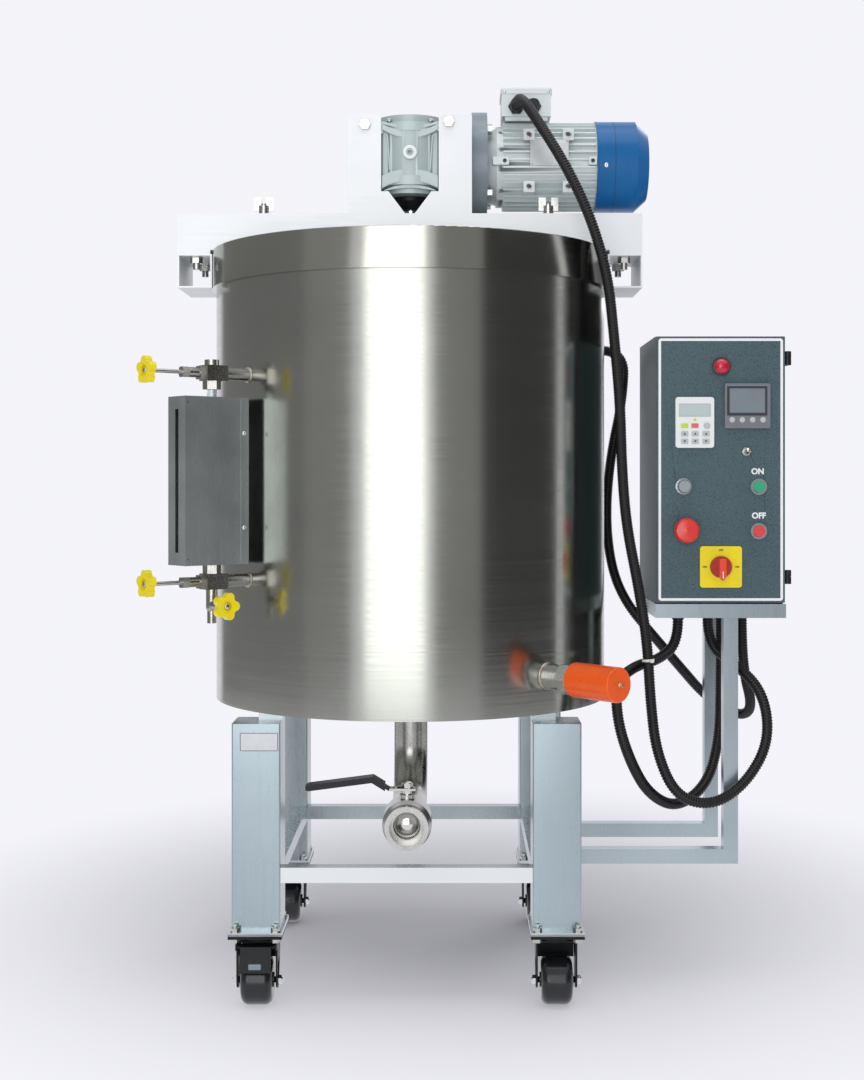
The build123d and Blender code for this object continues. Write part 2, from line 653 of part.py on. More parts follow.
def drive_beam():
    outer = block((-BEAM_HALF, BEAM_HALF), (BEAM_FRONT, -BEAM_FRONT), (BEAM_BOTTOM, BEAM_TOP))
    beam = outer - block((-BEAM_HALF - 1, BEAM_HALF + 1), (BEAM_FRONT + BEAM_WALL, -BEAM_FRONT - BEAM_WALL),
                         (BEAM_BOTTOM - 1, BEAM_TOP - BEAM_WALL))
    beam -= rod_z(COUPLING_RADIUS - 6, (BEAM_TOP - BEAM_WALL - 1, BEAM_TOP + 1))
    for sign in (-1, 1):
        inner = BAND_RADIUS - 4
        foot = block(sorted((sign * inner, sign * BEAM_HALF)), (BEAM_FRONT, -BEAM_FRONT),
                     (BEAM_BOTTOM - BEAM_FOOT, BEAM_BOTTOM))
        foot -= rod_z(BAND_RADIUS + 1, (BEAM_BOTTOM - BEAM_FOOT - 1, BEAM_BOTTOM - 0.5))
        beam += foot
        for y in BEAM_BOLT_Y:
            beam -= rod_z(6.2, (BEAM_BOTTOM - BEAM_FOOT - 1, BEAM_BOTTOM + 1), sign * BEAM_BOLT_X, y)
    for x in WING_BOLT_X:
        beam -= rod_z(5.0, (BEAM_TOP - BEAM_WALL - 1, BEAM_TOP + 1), x, WING_BOLT_Y)
    return beam


def gearbox_bracket():
    plate = BRACKET_PLATE
    sill = BEAM_TOP + WINDOW_SILL
    front = block((-BRACKET_HALF, BRACKET_HALF), (BEAM_FRONT, BEAM_FRONT + plate), (BEAM_TOP, BRACKET_TOP))
    window = Polyline((-WINDOW_HALF, BRACKET_TOP + 1), (-WINDOW_HALF, sill), (-NOTCH_TOP_HALF, sill),
                      (-NOTCH_BOTTOM_HALF, BEAM_TOP - 1), (NOTCH_BOTTOM_HALF, BEAM_TOP - 1), (NOTCH_TOP_HALF, sill),
                      (WINDOW_HALF, sill), (WINDOW_HALF, BRACKET_TOP + 1), close=True)
    front -= extrude(Plane.XZ * make_face(window), 2 * BEAM_DEPTH, both=True)
    for x, z in BRACKET_BOLTS:
        front -= rod_y(6.2, (BEAM_FRONT - 1, BEAM_FRONT + plate + 1), x, z)
    sides = front
    for sign in (-1, 1):
        span = sorted((sign * (BRACKET_HALF - plate), sign * BRACKET_HALF))
        sides += block(span, (BEAM_FRONT, CENTRE_DISTANCE - BARREL_RADIUS - 4), (BEAM_TOP, BRACKET_TOP))
        sides += block(span, (BEAM_FRONT, -BEAM_FRONT), (BEAM_TOP, BEAM_TOP + BRACKET_BACK_HEIGHT))
    sides += block((-BRACKET_HALF, BRACKET_HALF), (-BEAM_FRONT - plate, -BEAM_FRONT),
                   (BEAM_TOP, BEAM_TOP + BRACKET_BACK_HEIGHT))
    return sides


BRACKET_BOLTS = ((-80.0, 1497.0), (69.0, 1502.0))


def housing_outside():
    half = HOUSING_HEIGHT / 2
    body = rod_z(HOUSING_RADIUS, (-half, half))
    body += block((-HOUSING_RADIUS + 2, HOUSING_RADIUS - 2), (0, CENTRE_DISTANCE), (-half + 6, half - 6))
    body += rod_x(BARREL_RADIUS, (-HOUSING_RADIUS - 8, INPUT_FLANGE_X), CENTRE_DISTANCE)
    body += rod_x(FLANGE_RADIUS, (INPUT_FLANGE_X, MOTOR_FLANGE_X), CENTRE_DISTANCE)
    body += rod_z(COVER_RADIUS, (-half - COVER_THICKNESS, half + COVER_THICKNESS))
    body += tube_z(HOUSING_RADIUS + 1.5, HOUSING_RADIUS - 4, (half - 16, half))
    body += tube_z(HOUSING_RADIUS + 1.5, HOUSING_RADIUS - 4, (-half, -half + 16))
    for x in (-34.0, -12.0, 12.0, 34.0):
        depth = -math.sqrt((HOUSING_RADIUS + 1.0) ** 2 - x ** 2)
        body += block((x - 2, x + 2), (depth, depth + 12), (-half + 10, half - 10))
    body += rod_y(12, (-HOUSING_RADIUS - 5, -HOUSING_RADIUS + 8))
    body -= Pos(0, -HOUSING_RADIUS - 5, 0) * Rot(X=-90) * extrude(RegularPolygon(4.5, 6), 7)
    for x, z in BRACKET_BOLTS:
        side = math.copysign(1, x)
        ear = block(sorted((side * 48, side * 94)), (BEAM_FRONT + BRACKET_PLATE, -40), (z - DRIVE_Z - 14, half))
        ear -= rod_y(5, (BEAM_FRONT, BEAM_FRONT + 30), x, z - DRIVE_Z)
        body += ear
    return body


def gearbox_housing():
    half = HOUSING_HEIGHT / 2 + COVER_THICKNESS
    body = housing_outside()
    space = rod_z(GEAR_PITCH_RADIUS + 8, (-22, 22)) + rod_z(BEARING_OUTER, (-half + 8, half - 8))
    space += rod_z(HUB_RADIUS + 3, (-half - 1, half + 1))
    space += rod_x(WORM_BEARING_OUTER, (-58, 58), CENTRE_DISTANCE)
    space += rod_x(MOTOR_SHAFT_RADIUS + 3, (-59, MOTOR_FLANGE_X + 1), CENTRE_DISTANCE)
    return Pos(0, 0, DRIVE_Z) * (body - space)


BEARING_OUTER = 40.0
WORM_BEARING_OUTER = 26.0


def worm_wheel():
    half = HUB_LENGTH / 2
    wheel = rod_z(HUB_RADIUS, (-half, half)) + rod_z(GEAR_PITCH_RADIUS - GAP, (-WHEEL_FACE / 2, WHEEL_FACE / 2))
    wheel -= rod_z(SHAFT_NECK_RADIUS, (-half - 1, half + 1))
    return Pos(0, 0, DRIVE_Z) * wheel


def bearings():
    half = HOUSING_HEIGHT / 2 + COVER_THICKNESS
    solids = []
    for low, high in ((-half + 8, -24), (24, half - 8)):
        solids.append(Pos(0, 0, DRIVE_Z) * tube_z(BEARING_OUTER, HUB_RADIUS + RUN, (high - 20, high) if high < 0
                                                  else (low, low + 20)))
    for span in ((-58, -42), (42, 58)):
        ring = tube_x(WORM_BEARING_OUTER, MOTOR_SHAFT_RADIUS + RUN, span, CENTRE_DISTANCE)
        solids.append(Pos(0, 0, DRIVE_Z) * ring)
    for span in ((SHIELD_END - 28, SHIELD_END - 13), (MOTOR_END - 15, MOTOR_END)):
        ring = tube_x(WORM_BEARING_OUTER, MOTOR_SHAFT_RADIUS + RUN, span, CENTRE_DISTANCE)
        solids.append(Pos(0, 0, DRIVE_Z) * ring)
    bottom = DRIVE_Z - half
    seal = turned_z([(SHAFT_NECK_RADIUS + GAP, bottom), (HUB_RADIUS + 8, bottom), (HUB_RADIUS + 8, bottom - 7),
                     (SHAFT_NECK_RADIUS + 6, bottom - 22), (SHAFT_NECK_RADIUS + GAP, bottom - 22)])
    solids.append(seal)
    return gather(solids)


def motor_rotor():
    shaft = rod_x(MOTOR_SHAFT_RADIUS, (-58, MOTOR_END + 56), CENTRE_DISTANCE, DRIVE_Z)
    shaft += rod_x(ROTOR_RADIUS, (SHIELD_END + 14, MOTOR_END - 32), CENTRE_DISTANCE, DRIVE_Z)
    worm = tube_x(WORM_RADIUS - GAP, MOTOR_SHAFT_RADIUS, (-WORM_LENGTH / 2, WORM_LENGTH / 2), CENTRE_DISTANCE, DRIVE_Z)
    return gather([shaft, worm])


def motor(part):
    return Pos(0, CENTRE_DISTANCE, DRIVE_Z) * part


def motor_body():
    shield = rod_x(FLANGE_RADIUS, (MOTOR_FLANGE_X, MOTOR_FLANGE_X + MOTOR_FLANGE))
    shield += turned_x([(0, MOTOR_FLANGE_X + 10), (SHIELD_RADIUS, MOTOR_FLANGE_X + 10), (SHIELD_RADIUS + 4, SHIELD_END - 8),
                        (MOTOR_RADIUS, SHIELD_END - 8), (MOTOR_RADIUS, SHIELD_END), (0, SHIELD_END)])
    shield -= rod_x(WORM_BEARING_OUTER, (SHIELD_END - 28, SHIELD_END + 1))
    shield -= rod_x(MOTOR_SHAFT_RADIUS + 3, (MOTOR_FLANGE_X - 1, SHIELD_END))
    frame = rod_x(MOTOR_RADIUS, (SHIELD_END, MOTOR_END))
    for step in range(FIN_COUNT):
        angle = 360 * step / FIN_COUNT
        fin = block((SHIELD_END + 4, MOTOR_END - 2), (MOTOR_RADIUS - 4, FIN_RADIUS), (-FIN_THICKNESS / 2, FIN_THICKNESS / 2))
        frame += Rot(X=angle) * fin
    for sign in (-1, 1):
        for x in MOTOR_PAD_X:
            for z in MOTOR_PAD_Z:
                pad = block((x - 10, x + 10), sorted((sign * 46, sign * 83)), (z - 10, z + 10))
                frame += pad - rod_y(4, (-84, 84), x, z)
    frame -= rod_x(ROTOR_RADIUS + GAP, (SHIELD_END - 1, MOTOR_END - 20))
    frame -= rod_x(WORM_BEARING_OUTER, (MOTOR_END - 15, MOTOR_END + 1))
    frame -= rod_x(MOTOR_SHAFT_RADIUS + 3, (MOTOR_END - 30, MOTOR_END + 1))
    rear = rod_x(COWL_RADIUS - COWL_WALL, (MOTOR_END, MOTOR_END + 8)) - rod_x(MOTOR_SHAFT_RADIUS + 3, (0, COWL_END))
    return gather([motor(shield), motor(frame), motor(rear)])


MOTOR_PAD_X = (214.0, 285.0)
MOTOR_PAD_Z = (-50.0, 44.0)


def fan_cowl():
    inner = COWL_RADIUS - COWL_WALL
    shoulder = COWL_END - COWL_TAPER
    cowl = turned_x([(inner, MOTOR_END), (COWL_RADIUS, MOTOR_END), (COWL_RADIUS, shoulder), (COWL_FACE_RADIUS, COWL_END),
                     (0, COWL_END), (0, COWL_END - COWL_WALL), (COWL_FACE_RADIUS - 1, COWL_END - COWL_WALL),
                     (inner, shoulder - 1)])
    for ring, count in ((26.0, 8), (48.0, 12)):
        for step in range(count):
            slot = block((COWL_END - 8, COWL_END + 1), (ring - 8, ring + 8), (-3, 3))
            cowl -= Rot(X=360 * step / count) * slot
    return motor(cowl)


def cooling_fan():
    start = MOTOR_END + 22
    fan = tube_x(18, MOTOR_SHAFT_RADIUS, (start, start + 30))
    fan += tube_x(60, MOTOR_SHAFT_RADIUS, (start, start + 3))
    for step in range(8):
        fan += Rot(X=45 * step) * block((start, start + 28), (16, 70), (-1.5, 1.5))
    return motor(fan)


def terminal_box():
    right = TERMINAL_LEFT + TERMINAL_WIDTH
    front = CENTRE_DISTANCE - TERMINAL_DEPTH / 2
    back = CENTRE_DISTANCE + TERMINAL_DEPTH / 2
    top = TERMINAL_BOTTOM + TERMINAL_HEIGHT
    lid_z = top - 12
    base = block((TERMINAL_LEFT + 2, right - 2), (front + 2, back - 2), (TERMINAL_BOTTOM, lid_z))
    base += block((TERMINAL_LEFT + 8, right - 8), (front + 8, back - 8), (TERMINAL_BOTTOM - 7, TERMINAL_BOTTOM))
    base -= motor(rod_x(FIN_RADIUS + 0.3, (0, MOTOR_END)))
    lid = block((TERMINAL_LEFT, right), (front, back), (lid_z, top))
    lid = fillet(lid.edges().filter_by(Axis.Z), 5.0)
    lid = chamfer(lid.edges().group_by(Axis.Z)[-1], 3.0)
    return gather([base, lid])


def gland(length):
    """A cable gland about Z, its hexagon from zero, its cap pointing up."""
    body = hexagon_z(2 * GLAND_RADIUS, (0, 9))
    body += turned_z([(0, 9), (GLAND_RADIUS - 1, 9), (GLAND_RADIUS - 1, length - 6), (CABLE_RADIUS + 1, length), (0, length)])
    return body


GLAND_LENGTH = 24.0
GLAND_SPOTS = ((530.0, -60.0), (600.0, -10.0), (470.0, -110.0), (560.0, -20.0))


def cable_glands():
    solids = []
    face = CENTRE_DISTANCE - TERMINAL_DEPTH / 2 + 2
    for x in GLAND_X:
        solids.append(Pos(x, face, GLAND_Z) * Rot(X=90) * gland(GLAND_LENGTH))
    for x, y in GLAND_SPOTS:
        solids.append(Pos(x, y, BOX_BOTTOM) * Rot(X=180) * gland(GLAND_LENGTH + 6))
    place = Rot(Z=TANK_GLAND_TURN) * Pos(TANK_RADIUS, 0, TANK_GLAND_Z) * Rot(Y=90)
    sensor = place * (rod_z(GLAND_RADIUS, (-4, 6)) + hexagon_z(2 * GLAND_RADIUS, (6, 16)))
    solids.append(sensor - rod_z(TANK_RADIUS, (FLOOR_Z, RIM_Z)))
    return gather(solids)


TANK_GLAND_TURN = 14.0
TANK_GLAND_Z = 1110.0


# Agitator
def agitator():
    low = dish_height(0, VESSEL_WALL) + ANCHOR_CLEARANCE + 4
    shaft = rod_z(SHAFT_RADIUS, (low, BEAM_BOTTOM + 14))
    shaft += rod_z(COUPLING_RADIUS, (BEAM_BOTTOM + 12, BEAM_TOP - BEAM_WALL - 6))
    shaft += rod_z(SHAFT_NECK_RADIUS, (BEAM_TOP - 20, HUB_TOP))
    reach = VESSEL_INNER - ANCHOR_CLEARANCE
    inset = VESSEL_WALL + ANCHOR_CLEARANCE
    frame = dished(reach, inset, ANCHOR_TOP)
    frame -= dished(reach - ANCHOR_WIDTH, inset + ANCHOR_WIDTH, ANCHOR_TOP + 1)
    half = ANCHOR_THICKNESS / 2
    frame &= block((-reach, reach), (-half, half), (0, ANCHOR_TOP))
    for z in ANCHOR_ARMS:
        frame += block((-reach + ANCHOR_WIDTH / 2, reach - ANCHOR_WIDTH / 2), (-half, half), (z - 17, z + 17))
    return shaft + frame


ANCHOR_ARMS = (860.0, 1150.0)
SCRAPER_Z = (750.0, 950.0, 1060.0)


def scraper_blades():
    solids = []
    reach = VESSEL_INNER - SCRAPER_CLEARANCE
    edge = ANCHOR_THICKNESS / 2 + SCRAPER_THICKNESS
    outer = math.sqrt(reach ** 2 - edge ** 2)
    for sign in (-1, 1):
        for z in SCRAPER_Z:
            across = sorted((sign * (outer - 26), sign * outer))
            along = sorted((sign * ANCHOR_THICKNESS / 2, sign * edge))
            solids.append(block(across, along, (z - SCRAPER_HEIGHT / 2, z + SCRAPER_HEIGHT / 2)))
    return gather(solids)


# Half lids
def half_lid(sign):
    edge = LID_HINGE_Y - 2.0
    plate = rod_z(LID_RADIUS, (RIM_Z + GAP, RIM_Z + GAP + LID_THICKNESS))
    outside = 2 * LID_RADIUS
    plate &= block((-outside, outside), sorted((sign * (edge + 4), sign * outside)), (RIM_Z, RIM_Z + 10))
    lid = plate
    for x in (-150.0, 150.0):
        knuckle = rod_x(LID_PIN_RADIUS + 2.5, (x - 30, x + 30), sign * LID_HINGE_Y, LID_HINGE_Z)
        leaf = block((x - 30, x + 30), sorted((sign * LID_HINGE_Y, sign * (LID_HINGE_Y + 26))),
                     (RIM_Z + GAP + LID_THICKNESS, RIM_Z + GAP + LID_THICKNESS + 3))
        lid += knuckle + leaf
        lid -= rod_x(LID_PIN_RADIUS + RUN, (x - 31, x + 31), sign * LID_HINGE_Y, LID_HINGE_Z)
    y = sign * (LID_HINGE_Y + 66)
    base = RIM_Z + GAP + LID_THICKNESS
    top = base + 26
    handle = rod_x(4, (-50, 50), y, top - 4)
    for x in (-50.0, 50.0):
        handle += rod_z(4, (base, top - 4), x, y) + Pos(x, y, top - 4) * Sphere(4)
    return lid + handle


def lid_hinge_pins():
    """Pins with their brackets on the beam, for both lids."""
    solids = []
    for sign in (-1, 1):
        for x in (-150.0, 150.0):
            pin = rod_x(LID_PIN_RADIUS, (x - 44, x + 44), sign * LID_HINGE_Y, LID_HINGE_Z)
            for end in (x - 38, x + 38):
                pin += block((end - 6, end + 6), sorted((sign * BEAM_DEPTH / 2, sign * LID_HINGE_Y)),
                             (LID_HINGE_Z - 5, LID_HINGE_Z + 5))
                pin += rod_x(5, (end - 6, end + 6), sign * LID_HINGE_Y, LID_HINGE_Z)
            solids.append(pin)
    return solids


# Control box
def box_sheets():
    """The box's sheets, welded at their edges: sides, top, bottom and back, with a lip round the front."""
    lip_y = (BOX_FRONT, BOX_FRONT + BOX_WALL)
    behind_lip = (BOX_FRONT + BOX_WALL, BOX_BACK)
    between_sides = (BOX_LEFT + BOX_WALL, BOX_RIGHT - BOX_WALL)
    sheets = []
    for edge, side in ((BOX_LEFT, 1), (BOX_RIGHT, -1)):
        wall = block(sorted((edge, edge + side * BOX_WALL)), (BOX_FRONT, BOX_BACK), (BOX_BOTTOM, BOX_TOP))
        wall += block(sorted((edge, edge + side * BOX_LIP)), lip_y, (BOX_BOTTOM, BOX_TOP))
        sheets.append(wall)
    for edge, side in ((BOX_TOP, -1), (BOX_BOTTOM, 1)):
        wall = block(between_sides, behind_lip, sorted((edge, edge + side * BOX_WALL)))
        wall += block((BOX_LEFT + BOX_LIP, BOX_RIGHT - BOX_LIP), lip_y, sorted((edge, edge + side * BOX_LIP)))
        sheets.append(wall)
    for x, y in GLAND_SPOTS:
        sheets[-1] -= rod_z(GLAND_RADIUS - 3, (BOX_BOTTOM - 1, BOX_BOTTOM + BOX_WALL + 1), x, y)
    sheets.append(block(between_sides, (BOX_BACK - BOX_WALL, BOX_BACK), (BOX_BOTTOM + BOX_WALL, BOX_TOP - BOX_WALL)))
    sheets[2] -= sheets[4]
    sheets[3] -= sheets[4]
    return sheets


def control_box():
    solids = box_sheets()
    for z in HINGE_Z:
        pin = rod_z(HINGE_PIN_RADIUS, (z - HINGE_LENGTH / 2, z + HINGE_LENGTH / 2), HINGE_X, HINGE_Y)
        low = (z - HINGE_LENGTH / 2, z - GAP / 2)
        pin += rod_z(HINGE_KNUCKLE_RADIUS, low, HINGE_X, HINGE_Y)
        pin += block((BOX_RIGHT, HINGE_X), (BOX_FRONT + 2, BOX_FRONT + 14), low)
        pin += block((HINGE_X - 3, HINGE_X + 3), (HINGE_Y, BOX_FRONT + 14), low)
        solids.append(pin)
    return gather(solids)


def door_spot(spot):
    """Place of a fitting on the door's front face."""
    return BOX_LEFT + spot[0], DOOR_TOP + 1.0 - spot[1]


def control_door():
    door = block((BOX_LEFT, BOX_RIGHT), (DOOR_FRONT, DOOR_BACK), (DOOR_BOTTOM, DOOR_TOP))
    door -= block((BOX_LEFT + BOX_WALL, BOX_RIGHT - BOX_WALL), (DOOR_FRONT + BOX_WALL, DOOR_BACK + 1),
                  (DOOR_BOTTOM + BOX_WALL, DOOR_TOP - BOX_WALL))
    for spot in (PILOT, SPEED, ON_BUTTON, OFF_BUTTON, STOP_BUTTON, MAIN_SWITCH):
        x, z = door_spot(spot)
        door -= rod_y(BARREL_HOLE_RADIUS, (DOOR_FRONT - 1, DOOR_FRONT + 3), x, z)
    x, z = door_spot(TOGGLE)
    door -= rod_y(TOGGLE_BUSH_RADIUS, (DOOR_FRONT - 1, DOOR_FRONT + 3), x, z)
    for spot, width, height in ((CONTROLLER, 67, 67), (KEYPAD, 50, 70)):
        x, z = door_spot(spot)
        door -= block((x - width / 2, x + width / 2), (DOOR_FRONT - 1, DOOR_FRONT + 3), (z - height / 2, z + height / 2))
    for z in HINGE_Z:
        high = (z + GAP / 2, z + HINGE_LENGTH / 2)
        knuckle = rod_z(HINGE_KNUCKLE_RADIUS, high, HINGE_X, HINGE_Y)
        knuckle += block((BOX_RIGHT - 1, HINGE_X), (HINGE_Y - 3, HINGE_Y + 3), high)
        knuckle -= rod_z(HINGE_PIN_RADIUS + RUN, (high[0] - 1, high[1] + 1), HINGE_X, HINGE_Y)
        door += knuckle
    return door


TOGGLE_BUSH_RADIUS = 6.0


def on_door(spot, part):
    """Put a fitting, modelled about Z with the door's face at zero and its front upwards, on the door."""
    x, z = door_spot(spot)
    return Pos(x, DOOR_FRONT, z) * Rot(X=90) * part


def door_fittings():
    solids = []
    for spot in (ON_BUTTON, OFF_BUTTON):
        collar = tube_z(COLLAR_RADIUS, BUTTON_RADIUS - 1 + GAP, (0, COLLAR_HEIGHT))
        barrel = tube_z(BARREL_HOLE_RADIUS, BUTTON_RADIUS - 1 + GAP, (-36, 0))
        solids.append(on_door(spot, collar + barrel + rod_z(BARREL_HOLE_RADIUS, (-38, -30))))
    neck = tube_z(COLLAR_RADIUS, STOP_STEM_RADIUS + RUN, (0, COLLAR_HEIGHT))
    neck += tube_z(BARREL_HOLE_RADIUS, STOP_STEM_RADIUS + RUN, (-36, 0)) + rod_z(BARREL_HOLE_RADIUS, (-40, -30))
    solids.append(on_door(STOP_BUTTON, neck))
    bush = tube_z(TOGGLE_BUSH_RADIUS, TOGGLE_RADIUS + 1.5, (-18, 7)) + hexagon_z(14, (0, 2.5))
    bush -= rod_z(TOGGLE_RADIUS + 1.5, (-10, 8))
    solids.append(on_door(TOGGLE, bush))
    pot = rod_z(BARREL_HOLE_RADIUS, (-26, 0)) + rod_z(COLLAR_RADIUS, (0, 1.5)) - rod_z(KNOB_SHAFT_RADIUS + RUN, (-20, 2))
    solids.append(on_door(SPEED, pot))
    plate = block((-36, 36), (-35.5, 35.5), (0, 3))
    plate = fillet(plate.edges().filter_by(Axis.Z), 5.0)
    plate += rod_z(BARREL_HOLE_RADIUS, (-40, 0))
    plate -= rod_z(KNOB_SHAFT_RADIUS + RUN, (-30, 4))
    solids.append(on_door(MAIN_SWITCH, plate))
    return gather(solids)


STOP_STEM_RADIUS = 7.0
TOGGLE_RADIUS = 2.2
KNOB_SHAFT_RADIUS = 3.0


def push_button():
    cap = rod_z(BUTTON_RADIUS - 1, (-20, BUTTON_STAND))
    return chamfer(cap.edges().group_by(Axis.Z)[-1], 1.0)


def stop_button():
    head = turned_z([(0, -24), (STOP_STEM_RADIUS, -24), (STOP_STEM_RADIUS, 11), (STOP_RADIUS - 4, 11), (STOP_RADIUS, 15),
                     (STOP_RADIUS, 20), (STOP_RADIUS - 3, 24), (0, 26)])
    return on_door(STOP_BUTTON, head)


def speed_knob():
    knob = turned_z([(0, 1.5 + GAP), (12, 1.5 + GAP), (12, 12), (10, 16), (0, 16)])
    knob += rod_z(KNOB_SHAFT_RADIUS, (-18, 3))
    knob -= block((-0.8, 0.8), (5, 13), (14, 17))
    return on_door(SPEED, knob)


def main_switch():
    knob = turned_z([(0, 3 + GAP), (19, 3 + GAP), (18, 9), (0, 9)])
    grip = extrude(Polygon((-7, 14), (7, 14), (7, -12), (2.5, -22), (-2.5, -22), (-7, -12), align=None), 26)
    knob += grip & rod_z(24, (6, 26))
    knob += rod_z(KNOB_SHAFT_RADIUS, (-28, 5))
    return on_door(MAIN_SWITCH, knob)


def toggle_lever():
    lever = turned_z([(0, -6), (TOGGLE_RADIUS - 0.9, -6), (TOGGLE_RADIUS - 0.7, 8), (TOGGLE_RADIUS + 0.8, 17), (0, 19)])
    lever += Sphere(TOGGLE_RADIUS + 1.5 - RUN)
    return on_door(TOGGLE, Rot(X=-TOGGLE_TILT) * lever)


TOGGLE_TILT = 8.0


def pilot_lamp():
    lens = turned_z([(0, -30), (BARREL_HOLE_RADIUS, -30), (BARREL_HOLE_RADIUS, 0), (15.8, 0), (15.8, 5), (13, 5), (13, 9),
                     (10, 13), (5, 15.5), (0, 16)])
    return on_door(PILOT, lens)


def temp_controller():
    bezel = block((-39, 39), (-38.5, 38.5), (0, 7))
    bezel = fillet(bezel.edges().filter_by(Axis.Z), 3.0)
    bezel -= block((-33, 30), (-12, 33), (5.5, 8))
    body = block((-33, 33), (-33, 33), (-65, 0))
    return on_door(CONTROLLER, bezel + body)


def speed_keypad():
    panel = block((-33, 33), (-43.5, 43.5), (0, 8))
    panel = fillet(panel.edges().filter_by(Axis.Z), 5.0)
    panel -= block((-27, 27), (10, 32), (7, 9))
    body = block((-24, 24), (-34, 34), (-16, 0))
    return on_door(KEYPAD, panel + body)


def speed_drive():
    """The frequency drive on its mounting plate at the back of the box."""
    back = BOX_BACK - BOX_WALL
    plate = block((BOX_LEFT + 20, BOX_RIGHT - 20), (back - 12, back - 10), (BOX_BOTTOM + 20, BOX_TOP - 20))
    posts = plate
    for x in (BOX_LEFT + 35, BOX_RIGHT - 35):
        for z in (BOX_BOTTOM + 35, BOX_TOP - 35):
            posts += rod_y(5, (back - 10, back), x, z)
    drive = block((BOX_LEFT + 50, BOX_LEFT + 150), (back - 90, back - 12), (BOX_TOP - 220, BOX_TOP - 50))
    for x in range(6):
        left = BOX_LEFT + 58 + 15 * x
        drive -= block((left, left + 8), (back - 91, back - 84), (BOX_TOP - 70, BOX_TOP - 49))
    contactor = block((BOX_LEFT + 50, BOX_LEFT + 95), (back - 82, back - 12), (BOX_BOTTOM + 110, BOX_BOTTOM + 185))
    return gather([posts, drive, contactor])


# Casters
def caster(part, spot):
    return Pos(spot[0], spot[1], 0) * part


def caster_fork():
    top = PLATE_BOTTOM - 6.0 - GAP
    crown = rod_z(RACE_RADIUS, (top - RACE_HEIGHT + 2, top))
    half = FORK_WIDTH / 2
    under = top - RACE_HEIGHT
    crown += block((-half, half), (-26, 22), (under, under + FORK_PLATE))
    crown -= rod_z(KINGPIN_RADIUS + RUN, (0, top + 1))
    fork = crown
    for x in (-half, half - FORK_PLATE):
        plate = Pos(x, 0, 0) * extrude(Plane.YZ * side_profile(under), FORK_PLATE)
        fork += plate
    fork -= rod_x(AXLE_RADIUS, (-half - 1, half + 1), -CASTER_TRAIL, WHEEL_RADIUS)
    axle = rod_x(AXLE_RADIUS, (-half - 4, half + 4), -CASTER_TRAIL, WHEEL_RADIUS)
    axle += hexagon_x(13, (half, half + 6), -CASTER_TRAIL, WHEEL_RADIUS)
    axle += hexagon_x(13, (-half - 6, -half), -CASTER_TRAIL, WHEEL_RADIUS)
    return [fork, axle]


def side_profile(under):
    """Outline of a fork cheek, across and up."""
    hub = Pos(-CASTER_TRAIL, WHEEL_RADIUS) * Circle(13)
    head = Pos(-2, under + FORK_PLATE / 2) * Rectangle(48, FORK_PLATE)
    return make_hull((hub + head).edges())


def caster_wheel():
    half = WHEEL_WIDTH / 2
    edge = WHEEL_EDGE
    low = WHEEL_RADIUS - edge
    corner = edge * math.sqrt(0.5)
    lines = [Line((AXLE_RADIUS + RUN, -half - 2), (AXLE_RADIUS + RUN, half + 2)),
             Line((AXLE_RADIUS + RUN, half + 2), (12, half + 2)), Line((12, half + 2), (12, half)),
             Line((12, half), (low, half)),
             ThreePointArc((low, half), (low + corner, half - edge + corner), (WHEEL_RADIUS, half - edge)),
             Line((WHEEL_RADIUS, half - edge), (WHEEL_RADIUS, -half + edge)),
             ThreePointArc((WHEEL_RADIUS, -half + edge), (low + corner, -half + edge - corner), (low, -half)),
             Line((low, -half), (12, -half)), Line((12, -half), (12, -half - 2)),
             Line((12, -half - 2), (AXLE_RADIUS + RUN, -half - 2))]
    wheel = revolve(Plane.XZ * make_face(lines), Axis.Z)
    return Pos(0, -CASTER_TRAIL, WHEEL_RADIUS) * Rot(Y=90) * wheel


PEDAL_Y = -34.0
PEDAL_Z = 100.0


def brake_pedal():
    """A foot pedal on a pin across the front of the fork."""
    half = PEDAL_WIDTH / 2
    lines = Polyline((PEDAL_Y + 5, PEDAL_Z + 4), (PEDAL_Y - 12, PEDAL_Z + 3), (PEDAL_Y - 18, PEDAL_Z - 20),
                     (PEDAL_Y - 24, PEDAL_Z - 36), (PEDAL_Y - 20, PEDAL_Z - 38), (PEDAL_Y - 12, PEDAL_Z - 20),
                     (PEDAL_Y - 6, PEDAL_Z - 6), (PEDAL_Y + 4, PEDAL_Z - 5), close=True)
    pedal = Pos(-half, 0, 0) * extrude(Plane.YZ * make_face(lines), 2 * half)
    pedal -= rod_x(PEDAL_PIN_RADIUS + RUN, (-half - 1, half + 1), PEDAL_Y, PEDAL_Z)
    return pedal


def pedal_pin():
    half = FORK_WIDTH / 2
    pin = rod_x(PEDAL_PIN_RADIUS, (-half, half), PEDAL_Y, PEDAL_Z)
    for x in (-half, half - FORK_PLATE):
        pin += block((x, x + FORK_PLATE), (PEDAL_Y - 5, -20), (PEDAL_Z - 5, PEDAL_Z + 5))
    return pin


